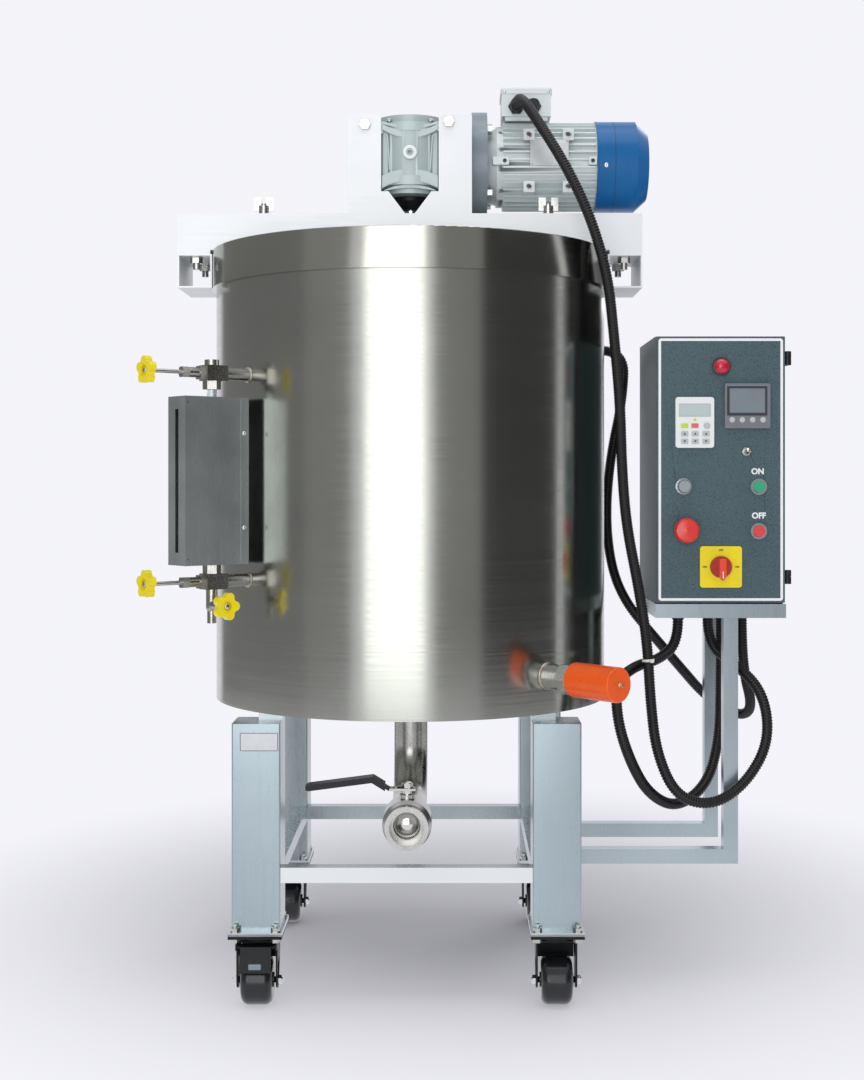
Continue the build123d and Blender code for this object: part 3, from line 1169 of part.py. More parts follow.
# Fasteners
def bolts():
    solids = []
    for x, y in plate_bolt_spots():
        bolt = rod_z(4.0, (PLATE_BOTTOM - 1, FOOT_TOP + 11), x, y) + hexagon_z(13, (PLATE_BOTTOM - 6, PLATE_BOTTOM), x, y)
        nut = hexagon_z(13, (FOOT_TOP, FOOT_TOP + 7), x, y) - rod_z(4.0, (FOOT_TOP - 1, FOOT_TOP + 12), x, y)
        solids += [bolt, nut]
    top = BEAM_BOTTOM
    low = BEAM_BOTTOM - BEAM_FOOT - STUB_WALL
    for sign in (-1, 1):
        for y in BEAM_BOLT_Y:
            x = sign * BEAM_BOLT_X
            solids.append(rod_z(6.0, (low - 22, top + 1), x, y) + hexagon_z(19, (top, top + 8), x, y))
            solids.append(hexagon_z(19, (low - 11, low), x, y) - rod_z(6.0, (low - 12, low + 1), x, y))
    for x, z in BRACKET_BOLTS:
        solids.append(rod_y(5.0, (BEAM_FRONT - 1, BEAM_FRONT + 28), x, z)
                      + hexagon_y(18, (BEAM_FRONT - 6, BEAM_FRONT), x, z))
    for x in WING_BOLT_X:
        stud = rod_z(5.0, (BEAM_TOP - BEAM_WALL - 14, BEAM_TOP + WING_BOLT_HEIGHT - 12), x, WING_BOLT_Y)
        nut = rod_z(9.0, (BEAM_TOP, BEAM_TOP + WING_BOLT_HEIGHT - 16), x, WING_BOLT_Y)
        for sign in (-1, 1):
            wing = Pos(x + sign * 11, WING_BOLT_Y, BEAM_TOP + WING_BOLT_HEIGHT - 13) * Box(13, 4, 24)
            nut += wing
        nut -= rod_z(5.0, (BEAM_TOP - 1, BEAM_TOP + 60), x, WING_BOLT_Y)
        solids += [stud, nut]
    for angle in (45, 135, 225, 315):
        y = 82 * math.cos(math.radians(angle))
        z = 82 * math.sin(math.radians(angle))
        head = hexagon_x(17, (MOTOR_FLANGE_X + MOTOR_FLANGE, MOTOR_FLANGE_X + MOTOR_FLANGE + 9), y, z)
        solids.append(motor(head))
    return gather(solids + lid_hinge_pins())


# Cables: each list holds the corners of the route
TERMINAL_FACE = CENTRE_DISTANCE - TERMINAL_DEPTH / 2 + 2
MOTOR_CABLE = [
    (192.5, TERMINAL_FACE - GLAND_LENGTH, 1551.0), (192.5, -82.0, 1551.0), (225.0, -142.0, 1486.0),
    (274.0, -165.0, 1400.0), (314.0, -175.0, 1310.0), (341.0, -176.0, 1215.0), (352.0, -174.0, 1110.0),
    (362.0, -174.0, 1000.0), (365.0, -172.0, 890.0), (373.0, -170.0, 790.0), (393.0, -169.0, 690.0),
    (409.0, -170.0, 590.0), (414.0, -172.0, 490.0), (424.0, -174.0, 400.0), (458.0, -176.0, 325.0),
    (520.0, -177.0, 310.0), (578.0, -178.0, 350.0), (618.0, -172.0, 420.0), (612.0, -152.0, 500.0),
    (572.0, -105.0, 545.0), (530.0, -60.0, 572.0), (530.0, -60.0, 624.0)]
TANK_CABLE_START = tuple((Rot(Z=TANK_GLAND_TURN) * Pos(TANK_RADIUS + 16, 0, TANK_GLAND_Z)).position)
TANK_CABLE_BEND = tuple((Rot(Z=TANK_GLAND_TURN) * Pos(TANK_RADIUS + 62, 0, TANK_GLAND_Z)).position)
TANK_CABLE = [
    TANK_CABLE_START, TANK_CABLE_BEND, (396.0, 99.0, 1020.0), (372.0, 93.0, 910.0), (363.0, 92.0, 800.0),
    (372.0, 80.0, 705.0), (398.0, 72.0, 640.0), (446.0, 74.0, 582.0), (500.0, 96.0, 520.0), (556.0, 112.0, 456.0),
    (612.0, 84.0, 424.0), (628.0, 24.0, 448.0), (600.0, -10.0, 530.0), (600.0, -10.0, 624.0)]
HEATER_CABLE = [
    (470.0, -110.0, 624.0), (470.0, -110.0, 582.0), (434.0, -126.0, 554.0), (392.0, -142.0, 546.0),
    (352.0, -202.0, 526.0), (352.0, -222.0, 462.0), (376.0, -205.0, 390.0), (412.0, -168.0, 328.0),
    (466.0, -126.0, 296.0), (524.0, -92.0, 330.0), (550.0, -60.0, 400.0), (560.0, -20.0, 480.0),
    (560.0, -20.0, 624.0)]


def corner_radii(points):
    """The largest arc that the two runs at each corner leave room for."""
    radii = []
    for before, corner, after in zip(points, points[1:], points[2:]):
        first = Vector(*corner) - Vector(*before)
        second = Vector(*after) - Vector(*corner)
        turn = math.radians(first.get_angle(second))
        radii.append(0.45 * min(first.length, second.length) / math.tan(turn / 2))
    return radii


def cable(name, points):
    radii = corner_radii(points)
    path = FilletPolyline(*points, radius=radii)
    start = Plane(points[0], z_dir=Vector(*points[1]) - Vector(*points[0]))
    tube = sweep(start * Circle(CABLE_RADIUS), path=path)
    share = tube.volume / (math.pi * CABLE_RADIUS ** 2 * path.length)
    print(name, "length", round(path.length), "volume share", round(share, 4))
    print("  radii", [round(radius) for radius in radii])
    return tube


def build():
    nodes = {
        "frame_legs": frame_legs(), "foot_plates": foot_plates(), "frame_rails": frame_rails(),
        "panel_stand": panel_stand(), "tank_jacket": tank_jacket(), "inner_vessel": inner_vessel(),
        "outlet_pipe": outlet_pipe(), "valve_body": valve_body(), "valve_ball": valve_ball(),
        "valve_lever": valve_lever(), "gauge_valves": gauge_valves(), "gauge_glass": gauge_glass(),
        "gauge_guard": gauge_guard(), "handwheel_top": gauge_handwheel(UPPER_VALVE_Z),
        "handwheel_bottom": gauge_handwheel(LOWER_VALVE_Z), "handwheel_drain": drain_handwheel(),
        "immersion_heater": immersion_heater(), "heater_cap": heater_cap(), "beam_brackets": beam_brackets(),
        "drive_beam": drive_beam(), "gearbox_bracket": gearbox_bracket(), "gearbox_housing": gearbox_housing(),
        "worm_wheel": worm_wheel(), "bearings": bearings(), "motor_rotor": motor_rotor(),
        "motor_body": motor_body(), "fan_cowl": fan_cowl(), "cooling_fan": cooling_fan(),
        "terminal_box": terminal_box(), "cable_glands": cable_glands(), "agitator": agitator(),
        "scraper_blades": scraper_blades(), "lid_front": half_lid(-1), "lid_rear": half_lid(1),
        "control_box": control_box(), "control_door": control_door(), "door_fittings": door_fittings(),
        "on_button": on_door(ON_BUTTON, push_button()), "off_button": on_door(OFF_BUTTON, push_button()),
        "stop_button": stop_button(), "speed_knob": speed_knob(), "main_switch": main_switch(),
        "toggle_lever": toggle_lever(), "pilot_lamp": pilot_lamp(), "temp_controller": temp_controller(),
        "speed_keypad": speed_keypad(), "speed_drive": speed_drive(), "bolts": bolts(),
    }
    for name, spot in zip(LEG_NAMES, LEG_SPOTS):
        fork = caster_fork()
        if name == BRAKED_CASTER:
            fork[0] += pedal_pin()
            nodes["brake_pedal"] = caster(brake_pedal(), spot)
        nodes["fork_" + name] = gather([caster(solid, spot) for solid in fork])
        nodes["wheel_" + name] = caster(caster_wheel(), spot)
    nodes["motor_cable"] = cable("motor_cable", MOTOR_CABLE)
    nodes["tank_cable"] = cable("tank_cable", TANK_CABLE)
    nodes["heater_cable"] = cable("heater_cable", HEATER_CABLE)
    return nodes


BRAKED_CASTER = "front_left"
CABLE_NODES = ("motor_cable", "tank_cable", "heater_cable")


def base_centre(nodes):
    """Centre of the machine's footprint, cables left out."""
    boxes = [part.bounding_box() for name, part in nodes.items() if name not in CABLE_NODES]
    x = (min(box.min.X for box in boxes) + max(box.max.X for box in boxes)) / 2
    y = (min(box.min.Y for box in boxes) + max(box.max.Y for box in boxes)) / 2
    z = min(box.min.Z for box in boxes)
    return x, y, z


def main():
    os.makedirs("parts", exist_ok=True)
    nodes = build()
    x, y, z = base_centre(nodes)
    print("base centre", round(x, 4), round(y, 4), round(z, 4))
    for name, part in nodes.items():
        moved = gather([Pos(-x, -y, -z) * solid for solid in part.solids()])
        export_step(moved, f"parts/{name}.step")


main()
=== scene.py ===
import json
import math

import bmesh
import bpy
from mathutils import Matrix, Vector


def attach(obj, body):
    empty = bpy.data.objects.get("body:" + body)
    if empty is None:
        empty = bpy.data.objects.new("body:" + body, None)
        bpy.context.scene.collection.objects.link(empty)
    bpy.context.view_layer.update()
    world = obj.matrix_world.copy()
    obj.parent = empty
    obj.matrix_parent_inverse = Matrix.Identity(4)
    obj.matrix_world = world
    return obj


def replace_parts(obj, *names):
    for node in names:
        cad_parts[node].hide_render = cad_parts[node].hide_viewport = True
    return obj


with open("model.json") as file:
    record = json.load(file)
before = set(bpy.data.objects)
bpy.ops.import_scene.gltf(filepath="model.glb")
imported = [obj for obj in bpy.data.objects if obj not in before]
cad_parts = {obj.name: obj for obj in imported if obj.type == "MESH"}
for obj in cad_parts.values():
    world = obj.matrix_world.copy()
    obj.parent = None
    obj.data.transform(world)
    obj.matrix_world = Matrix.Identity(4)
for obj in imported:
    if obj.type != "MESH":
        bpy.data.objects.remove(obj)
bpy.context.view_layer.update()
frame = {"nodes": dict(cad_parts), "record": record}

# The CAD's own origin is the tank axis. This is where that origin lies, in millimetres.
BASE_X, BASE_Y = 113.0307, -18.3039


def at(x, y, z):
    """A point about the tank axis in millimetres, as a point of the frame in metres."""
    return Vector(((x - BASE_X) / 1000, (y - BASE_Y) / 1000, z / 1000))


# Camera
cam_data = bpy.data.cameras.new("camera")
cam = bpy.data.objects.new("camera", cam_data)
bpy.context.scene.collection.objects.link(cam)
cam.location = at(72.3, -2881.0, 864.0)
cam.rotation_euler = (math.radians(90), 0, 0)
cam_data.lens = 52.77
cam_data.sensor_width = 36
cam_data.shift_x = -0.0173
cam_data.shift_y = -0.0539
cam_data.clip_start = 0.05
cam_data.clip_end = 60
bpy.context.scene.camera = cam
bpy.context.scene.view_settings.view_transform = "Standard"


# Materials
def material(name, color, metallic=0.0, roughness=0.5, tint=0.06, tint_scale=6.0, bump=0.0, bump_scale=300.0,
             stretch=(1, 1, 1), rough_spread=0.0, coat=0.0, speck=0.0, speck_scale=900.0, wear=0.0,
             transmission=0.0, emission=None, specular=0.5):
    """A procedural finish: tint varies the colour broadly, bump is grain, stretch draws the grain out."""
    mat = bpy.data.materials.new(name)
    mat.use_nodes = True
    nodes, links = mat.node_tree.nodes, mat.node_tree.links
    shader = nodes["Principled BSDF"]
    shader.inputs["Metallic"].default_value = metallic
    shader.inputs["Coat Weight"].default_value = coat
    shader.inputs["Coat Roughness"].default_value = 0.12
    shader.inputs["Specular IOR Level"].default_value = specular
    shader.inputs["Transmission Weight"].default_value = transmission
    if emission:
        shader.inputs["Emission Color"].default_value = (*color, 1)
        shader.inputs["Emission Strength"].default_value = emission
    place = nodes.new("ShaderNodeTexCoord")
    scaled = nodes.new("ShaderNodeMapping")
    scaled.inputs["Scale"].default_value = stretch
    links.new(place.outputs["Object"], scaled.inputs["Vector"])
    broad = nodes.new("ShaderNodeTexNoise")
    broad.inputs["Scale"].default_value = tint_scale
    broad.inputs["Detail"].default_value = 4
    links.new(place.outputs["Object"], broad.inputs["Vector"])
    ramp = nodes.new("ShaderNodeMapRange")
    ramp.inputs["From Min"].default_value = 0.3
    ramp.inputs["From Max"].default_value = 0.7
    ramp.inputs["To Min"].default_value = 1 - tint
    ramp.inputs["To Max"].default_value = 1 + tint
    links.new(broad.outputs["Fac"], ramp.inputs["Value"])
    scale = nodes.new("ShaderNodeVectorMath")
    scale.operation = "SCALE"
    scale.inputs[0].default_value = color
    links.new(ramp.outputs["Result"], scale.inputs["Scale"])
    out = scale.outputs["Vector"]
    grain = nodes.new("ShaderNodeTexNoise")
    grain.inputs["Scale"].default_value = bump_scale
    grain.inputs["Detail"].default_value = 3
    links.new(scaled.outputs["Vector"], grain.inputs["Vector"])
    if speck:
        cells = nodes.new("ShaderNodeTexVoronoi")
        cells.inputs["Scale"].default_value = speck_scale
        links.new(place.outputs["Object"], cells.inputs["Vector"])
        spots = nodes.new("ShaderNodeMapRange")
        spots.inputs["From Min"].default_value = 0.0
        spots.inputs["From Max"].default_value = 0.8
        spots.inputs["To Min"].default_value = 1 + speck
        spots.inputs["To Max"].default_value = 1 - speck
        links.new(cells.outputs["Distance"], spots.inputs["Value"])
        again = nodes.new("ShaderNodeVectorMath")
        again.operation = "SCALE"
        links.new(out, again.inputs[0])
        links.new(spots.outputs["Result"], again.inputs["Scale"])
        out = again.outputs["Vector"]
    if wear:
        geometry = nodes.new("ShaderNodeNewGeometry")
        edge = nodes.new("ShaderNodeMapRange")
        edge.inputs["From Min"].default_value = 0.51
        edge.inputs["From Max"].default_value = 0.58
        edge.inputs["To Min"].default_value = 0.0
        edge.inputs["To Max"].default_value = wear
        links.new(geometry.outputs["Pointiness"], edge.inputs["Value"])
        mix = nodes.new("ShaderNodeMix")
        mix.data_type = "RGBA"
        links.new(edge.outputs["Result"], mix.inputs["Factor"])
        links.new(out, mix.inputs["A"])
        mix.inputs["B"].default_value = (*[min(1.0, c * 1.5 + 0.12) for c in color], 1)
        out = mix.outputs["Result"]
    links.new(out, shader.inputs["Base Color"])
    rough = nodes.new("ShaderNodeMapRange")
    rough.inputs["From Min"].default_value = 0.3
    rough.inputs["From Max"].default_value = 0.7
    rough.inputs["To Min"].default_value = max(0.02, roughness - rough_spread)
    rough.inputs["To Max"].default_value = min(1.0, roughness + rough_spread)
    links.new(grain.outputs["Fac"], rough.inputs["Value"])
    links.new(rough.outputs["Result"], shader.inputs["Roughness"])
    if bump:
        relief = nodes.new("ShaderNodeBump")
        relief.inputs["Strength"].default_value = bump
        relief.inputs["Distance"].default_value = 0.0004
        links.new(grain.outputs["Fac"], relief.inputs["Height"])
        links.new(relief.outputs["Normal"], shader.inputs["Normal"])
    return mat


ROUND = (0.6, 0.6, 60)
MAT = {
    "tank": material("tank_stainless", (0.415, 0.425, 0.385), 1.0, 0.19, 0.10, 4.0, 0.03, 5.0, ROUND, 0.03),
    "band": material("band_stainless", (0.43, 0.43, 0.385), 1.0, 0.15, 0.08, 4.0, 0.02, 5.0, ROUND, 0.02),
    "inside": material("vessel_stainless", (0.62, 0.61, 0.59), 1.0, 0.22, 0.04, 4.0, 0.05, 14.0, ROUND, 0.05),
    "steel": material("satin_stainless", (0.42, 0.49, 0.515), 0.92, 0.28, 0.10, 5.0, 0.0, 5.0,
                      (30, 30, 1.0), 0.015),
    # Lighter copy of the satin stainless for the legs' front faces: painted light.
    "leg_front_painted_light": material("satin_stainless_front_painted_light", (0.37, 0.445, 0.47), 0.92, 0.28, 0.06, 5.0, 0.0, 5.0,
                          (30, 30, 1.0), 0.02),
    "steel_x": material("satin_stainless_plate", (0.52, 0.56, 0.57), 0.92, 0.28, 0.10, 5.0, 0.0, 5.0,
                        (1.0, 30, 30), 0.015),
    "beam": material("bright_steel", (0.76, 0.785, 0.79), 0.25, 0.42, 0.03, 4.0, 0.02, 5.0, (1.5, 60, 60),
                     0.04),
    "zinc": material("zinc_plate", (0.50, 0.50, 0.475), 1.0, 0.26, 0.08, 60.0, 0.1, 700.0, (1, 1, 1), 0.08),
    "cast": material("cast_stainless", (0.40, 0.39, 0.36), 1.0, 0.24, 0.10, 30.0, 0.25, 500.0, (1, 1, 1), 0.08),
    "polish": material("polished_steel", (0.70, 0.69, 0.67), 1.0, 0.10, 0.02, 20.0),
    "weld": material("weld_tint", (0.40, 0.36, 0.30), 1.0, 0.36, 0.2, 60.0, 0.6, 260.0, (1, 1, 1), 0.1),
    "gear": material("gearbox_paint", (0.42, 0.495, 0.49), 0.1, 0.36, 0.05, 12.0, 0.25, 520.0, (1, 1, 1),
                     0.06, 0.2, wear=0.35),
    "motor": material("motor_paint", (0.58, 0.65, 0.645), 0.1, 0.38, 0.05, 12.0, 0.25, 520.0, (1, 1, 1),
                      0.06, 0.1, wear=0.3),
    "flange": material("flange_paint", (0.17, 0.21, 0.235), 0.1, 0.38, 0.05, 12.0, 0.25, 520.0, (1, 1, 1),
                       0.06, 0.1, wear=0.3),
    "blue": material("cowl_paint", (0.001, 0.115, 0.33), 0.0, 0.30, 0.06, 12.0, 0.05, 420.0, (1, 1, 1),
                     0.04, 0.1, specular=0.25),
    "box": material("hammered_paint", (0.078, 0.126, 0.142), 0.05, 0.44, 0.05, 9.0, 0.45, 520.0, (1, 1, 1),
                    0.06, 0.0, 0.35, 520.0, specular=0.25),
    "black": material("black_plastic", (0.010, 0.010, 0.011), 0.0, 0.40, 0.15, 40.0, 0.15, 700.0, (1, 1, 1),
                      0.08, specular=0.35),
    "hose": material("cable_cover", (0.006, 0.006, 0.0065), 0.0, 0.34, 0.15, 40.0, 0.05, 700.0, (1, 1, 1),
                     0.06, specular=0.35),
    "caster": material("caster_paint", (0.007, 0.008, 0.010), 0.0, 0.42, 0.15, 40.0, 0.2, 500.0, (1, 1, 1),
                       0.08, specular=0.22),
    "tyre": material("wheel_plastic", (0.010, 0.012, 0.014), 0.0, 0.26, 0.25, 60.0, 0.2, 300.0, (1, 1, 1),
                     0.08, 0.2, specular=0.35),
    "yellow": material("yellow_plastic", (0.86, 0.70, 0.008), 0.0, 0.30, 0.05, 40.0, 0.05, 500.0, (1, 1, 1),
                       0.04, 0.2, specular=0.35),
    "orange": material("orange_paint", (0.86, 0.105, 0.006), 0.0, 0.30, 0.05, 30.0, 0.1, 400.0, (1, 1, 1),
                       0.05, 0.15, specular=0.35),
    "red": material("red_plastic", (0.72, 0.030, 0.020), 0.0, 0.28, 0.05, 40.0, 0.05, 500.0, (1, 1, 1),
                    0.04, 0.4),
    "red_cap": material("red_cap", (0.72, 0.055, 0.060), 0.0, 0.30, 0.05, 40.0, 0.05, 500.0, (1, 1, 1),
                        0.04, 0.2),
    "lamp": material("lamp_lens", (0.50, 0.006, 0.028), 0.0, 0.10, 0.12, 90.0, 0.5, 200.0, (1, 1, 1), 0.03,
                     0.5, emission=0.06),
    "green": material("green_plastic", (0.020, 0.38, 0.20), 0.0, 0.30, 0.05, 40.0, 0.05, 500.0, (1, 1, 1),
                      0.04, 0.3),
    "grey": material("grey_plastic", (0.26, 0.28, 0.30), 0.0, 0.38, 0.05, 40.0, 0.1, 700.0, (1, 1, 1), 0.05),
    "silver": material("silver_plastic", (0.30, 0.33, 0.345), 0.4, 0.34, 0.04, 40.0, 0.1, 700.0, (1, 1, 1),
                       0.05),
    "white": material("white_paint", (0.86, 0.88, 0.88), 0.0, 0.45, 0.02, 40.0, 0.05, 700.0),
    "keypad": material("keypad_plastic", (0.80, 0.82, 0.80), 0.0, 0.40, 0.02, 40.0, 0.05, 700.0),
    "screen": material("screen_glass", (0.20, 0.24, 0.26), 0.0, 0.12, 0.05, 20.0, 0.0, 300.0, coat=0.6),
    "lcd": material("keypad_screen", (0.50, 0.58, 0.58), 0.0, 0.15, 0.03, 20.0, 0.0, 300.0, coat=0.4),
    "dark": material("screen_surround", (0.035, 0.04, 0.045), 0.0, 0.2, 0.05, 20.0, 0.0, 300.0, coat=0.4),
    "lime": material("lime_key", (0.50, 0.72, 0.03), 0.0, 0.4, 0.04, 40.0),
    "pink": material("pink_key", (0.80, 0.12, 0.14), 0.0, 0.4, 0.04, 40.0),
    "key": material("key_plastic", (0.48, 0.52, 0.52), 0.0, 0.4, 0.04, 40.0),
    "bronze": material("worm_bronze", (0.60, 0.40, 0.18), 1.0, 0.34, 0.08, 40.0, 0.2, 500.0, (1, 1, 1), 0.08),
    "ptfe": material("white_ptfe", (0.80, 0.79, 0.75), 0.0, 0.42, 0.03, 20.0, 0.1, 400.0),
    "glass": material("gauge_glass", (0.90, 0.95, 0.95), 0.0, 0.05, 0.01, 20.0, transmission=0.9),
    "tie": material("cable_tie", (0.78, 0.78, 0.72), 0.0, 0.5, 0.05, 60.0, 0.1, 700.0),
    "guard": material("guard_stainless", (0.40, 0.43, 0.425), 0.72, 0.26, 0.22, 7.0, 0.01, 5.0,
                      (60, 60, 1.5), 0.02),
    # Darker copy of the satin stainless for the sides and tops of legs and rails: painted shade.
    "steel_side_painted_shade": material("satin_stainless_side_painted_shade", (0.36, 0.41, 0.42), 0.92, 0.28, 0.16, 5.0, 0.0, 5.0,
                           (30, 30, 1.0), 0.02),
    "bezel": material("controller_case", (0.165, 0.185, 0.20), 0.0, 0.36, 0.04, 40.0, 0.1, 700.0, (1, 1, 1),
                      0.05),
    # Darker copy of the switch's red for its base disc: painted shade.
    "red_painted_shade": material("switch_base_painted_shade", (0.40, 0.020, 0.010), 0.0, 0.36, 0.05, 40.0, 0.05, 500.0, (1, 1, 1),
                         0.04),
    "red_grip": material("switch_grip", (0.84, 0.060, 0.020), 0.0, 0.24, 0.05, 40.0, 0.05, 500.0, (1, 1, 1),
                         0.04, 0.3),
    "chrome": material("chrome_collar", (0.62, 0.64, 0.65), 1.0, 0.16, 0.03, 40.0),
    "badge": material("bare_plate", (0.44, 0.455, 0.46), 1.0, 0.34, 0.04, 60.0, 0.05, 9.0, (1.5, 60, 60), 0.04),
    "seam": material("cowl_seam", (0.006, 0.035, 0.10), 0.0, 0.5, 0.05, 40.0),
}


# Mesh helpers
def link(name, mesh, body, mat, smooth=True):
    obj = bpy.data.objects.new(name, mesh)
    bpy.context.scene.collection.objects.link(obj)
    mesh.materials.clear()
    mesh.materials.append(MAT[mat])
    for face in mesh.polygons:
        face.use_smooth = smooth
    if body:
        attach(obj, body)
    return obj


def from_bmesh(name, bm, body, mat, smooth=True):
    bmesh.ops.recalc_face_normals(bm, faces=bm.faces)
    mesh = bpy.data.meshes.new(name)
    bm.to_mesh(mesh)
    bm.free()
    return link(name, mesh, body, mat, smooth)


def soften(obj, width, segments=2, angle=35):
    mod = obj.modifiers.new("edges", "BEVEL")
    mod.width = width / 1000
    mod.segments = segments
    mod.limit_method = "ANGLE"
    mod.angle_limit = math.radians(angle)
    mod.harden_normals = False
    return obj


def facing(point, direction):
    """A frame at a point whose Z runs along a direction."""
    turn = Vector(direction).to_track_quat("Z", "Y").to_matrix().to_4x4()
    return Matrix.Translation(point) @ turn


def slab(name, low, high, body, mat, round_by=0.6):
    """A box between two corners given about the tank axis in millimetres, with rounded edges."""
    a, b = at(*low), at(*high)
    bm = bmesh.new()
    bmesh.ops.create_cube(bm, size=1)
    for vert in bm.verts:
        vert.co = Vector([(a[i] + b[i]) / 2 + vert.co[i] * (b[i] - a[i]) for i in range(3)])
    bmesh.ops.bevel(bm, geom=bm.edges[:], offset=round_by / 1000, segments=2, affect="EDGES", profile=0.5)
    return from_bmesh(name, bm, body, mat, False)


def lathe(name, profile, matrix, body, mat, steps=40):
    """Turns (radius, height) points in millimetres about the Z of a frame."""
    bm = bmesh.new()
    rings = []
    for radius, height in profile:
        if radius < 1e-6:
            rings.append([bm.verts.new(matrix @ Vector((0, 0, height / 1000)))])
            continue
        rings.append([bm.verts.new(matrix @ Vector((radius / 1000 * math.cos(2 * math.pi * k / steps),
                                                    radius / 1000 * math.sin(2 * math.pi * k / steps),
                                                    height / 1000))) for k in range(steps)])
    for one, two in zip(rings, rings[1:]):
        for k in range(steps):
            j = (k + 1) % steps
            if len(one) == 1:
                bm.faces.new((one[0], two[k], two[j]))
            elif len(two) == 1:
                bm.faces.new((one[k], one[j], two[0]))
            else:
                bm.faces.new((one[k], one[j], two[j], two[k]))
    obj = from_bmesh(name, bm, body, mat)
    soften(obj, 0.25, 1, 30)
    return obj


def outline(name, points, matrix, thickness, body, mat, round_by=0.0):
    """A flat plate: points in millimetres in the frame's XY, raised by thickness along its Z."""
    bm = bmesh.new()
    low = [bm.verts.new(matrix @ Vector((x / 1000, y / 1000, 0))) for x, y in points]
    high = [bm.verts.new(matrix @ Vector((x / 1000, y / 1000, thickness / 1000))) for x, y in points]
    bm.faces.new(low[::-1])
    bm.faces.new(high)
    for k in range(len(points)):
        j = (k + 1) % len(points)
        bm.faces.new((low[k], low[j], high[j], high[k]))
    obj = from_bmesh(name, bm, body, mat, False)
    if round_by:
        soften(obj, round_by, 2)
    return obj


def round_rectangle(width, height, corner, steps=6, inset=0.0):
    points = []
    w, h, r = width / 2 - inset, height / 2 - inset, max(corner - inset, 0.2)
    for k, (sx, sy) in enumerate(((1, 1), (-1, 1), (-1, -1), (1, -1))):
        for i in range(steps + 1):
            angle = math.radians(90 * k + 90 * i / steps)
            points.append((sx * (w - r) + r * math.cos(angle), sy * (h - r) + r * math.sin(angle)))
    return points


def ring_plate(name, outer, inner, matrix, thickness, body, mat):
    """A flat frame between two outlines with the same number of points."""
    bm = bmesh.new()
    loops = []
    for points, height in ((outer, 0), (outer, thickness), (inner, thickness), (inner, 0)):
        loops.append([bm.verts.new(matrix @ Vector((x / 1000, y / 1000, height / 1000))) for x, y in points])
    count = len(outer)
    for k in range(4):
        one, two = loops[k], loops[(k + 1) % 4]
        for i in range(count):
            j = (i + 1) % count
            bm.faces.new((one[i], one[j], two[j], two[i]))
    return from_bmesh(name, bm, body, mat, False)


def words(name, text, size, matrix, body, mat, thickness=0.25):
    """Generic lettering, centred on the frame's origin, size is the height of a capital in millimetres."""
    curve = bpy.data.curves.new(name, "FONT")
    curve.body = text
    curve.size = size / 1000 / 0.7
    curve.align_x = "CENTER"
    curve.align_y = "CENTER"
    curve.extrude = thickness / 2000
    curve.offset = size / 1000 * 0.055
    holder = bpy.data.objects.new(name + "_source", curve)
    bpy.context.scene.collection.objects.link(holder)
    bpy.context.view_layer.update()
    mesh = bpy.data.meshes.new_from_object(holder.evaluated_get(bpy.context.evaluated_depsgraph_get()))
    bpy.data.objects.remove(holder)
    mesh.transform(matrix)
    return link(name, mesh, body, mat, False)


# CAD nodes that are shown piece by piece, so that each solid has its own finish
def split(node, body, pick):
    """Shows each solid of a node as a piece of its own. pick(centre, size) gives the finish, in millimetres."""
    source = frame["nodes"][node]
    bm = bmesh.new()
    bm.from_mesh(source.data)
    bm.transform(source.matrix_world)
    bmesh.ops.remove_doubles(bm, verts=bm.verts, dist=1e-7)
    left = set(bm.verts)
    groups = []
    while left:
        stack = [left.pop()]
        group = set(stack)
        while stack:
            for edge in stack.pop().link_edges:
                for vert in edge.verts:
                    if vert in left:
                        left.discard(vert)
                        group.add(vert)
                        stack.append(vert)
        groups.append(group)
    made = []
    order = []
    for group in groups:
        low = [min(v.co[i] for v in group) for i in range(3)]
        high = [max(v.co[i] for v in group) for i in range(3)]
        centre = tuple((low[i] + high[i]) * 500 for i in range(3))
        size = tuple((high[i] - low[i]) * 1000 for i in range(3))
        order.append((centre, size, group))
    order.sort(key=lambda item: (round(item[0][0], 1), round(item[0][1], 1), round(item[0][2], 1), item[1]))
    for number, (centre, size, group) in enumerate(order):
        part = bmesh.new()
        copies = {}
        faces = {face for vert in group for face in vert.link_faces}
        for vert in sorted(group, key=lambda v: v.index):
            copies[vert] = part.verts.new(vert.co)
        for face in sorted(faces, key=lambda f: f.index):
            part.faces.new([copies[vert] for vert in face.verts])
        mat = pick((centre[0] + BASE_X, centre[1] + BASE_Y, centre[2]), size)
        mesh = bpy.data.meshes.new(f"{node}_{number + 1:02d}")
        part.to_mesh(mesh)
        part.free()
        obj = link(f"{node}_{number + 1:02d}", mesh, body, mat, False)
        smooth_by_angle(obj)
        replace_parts(obj, node)
        made.append(obj)
    bm.free()
    return made


def paint(node, body, finishes, pick, bevel=0.0, round_off=True):
    """Shows a node in several finishes. pick(point) gives the number of a face's finish, in millimetres."""
    source = frame["nodes"][node]
    bm = bmesh.new()
    bm.from_mesh(source.data)
    bm.transform(source.matrix_world)
    bmesh.ops.remove_doubles(bm, verts=bm.verts, dist=1e-7)
    mesh = bpy.data.meshes.new(node + "_finish")
    bm.to_mesh(mesh)
    bm.free()
    obj = link(node + "_finish", mesh, body, finishes[0], False)
    for finish in finishes[1:]:
        mesh.materials.append(MAT[finish])
    for face in mesh.polygons:
        point = face.center * 1000
        face.material_index = pick(Vector((point.x + BASE_X, point.y + BASE_Y, point.z)))
    if round_off:
        smooth_by_angle(obj)
    if bevel:
        soften(obj, bevel, 2, 40)
    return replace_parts(obj, node)


JOINTS = {joint["name"]: joint for joint in frame["record"]["behaviour"]["joints"]}


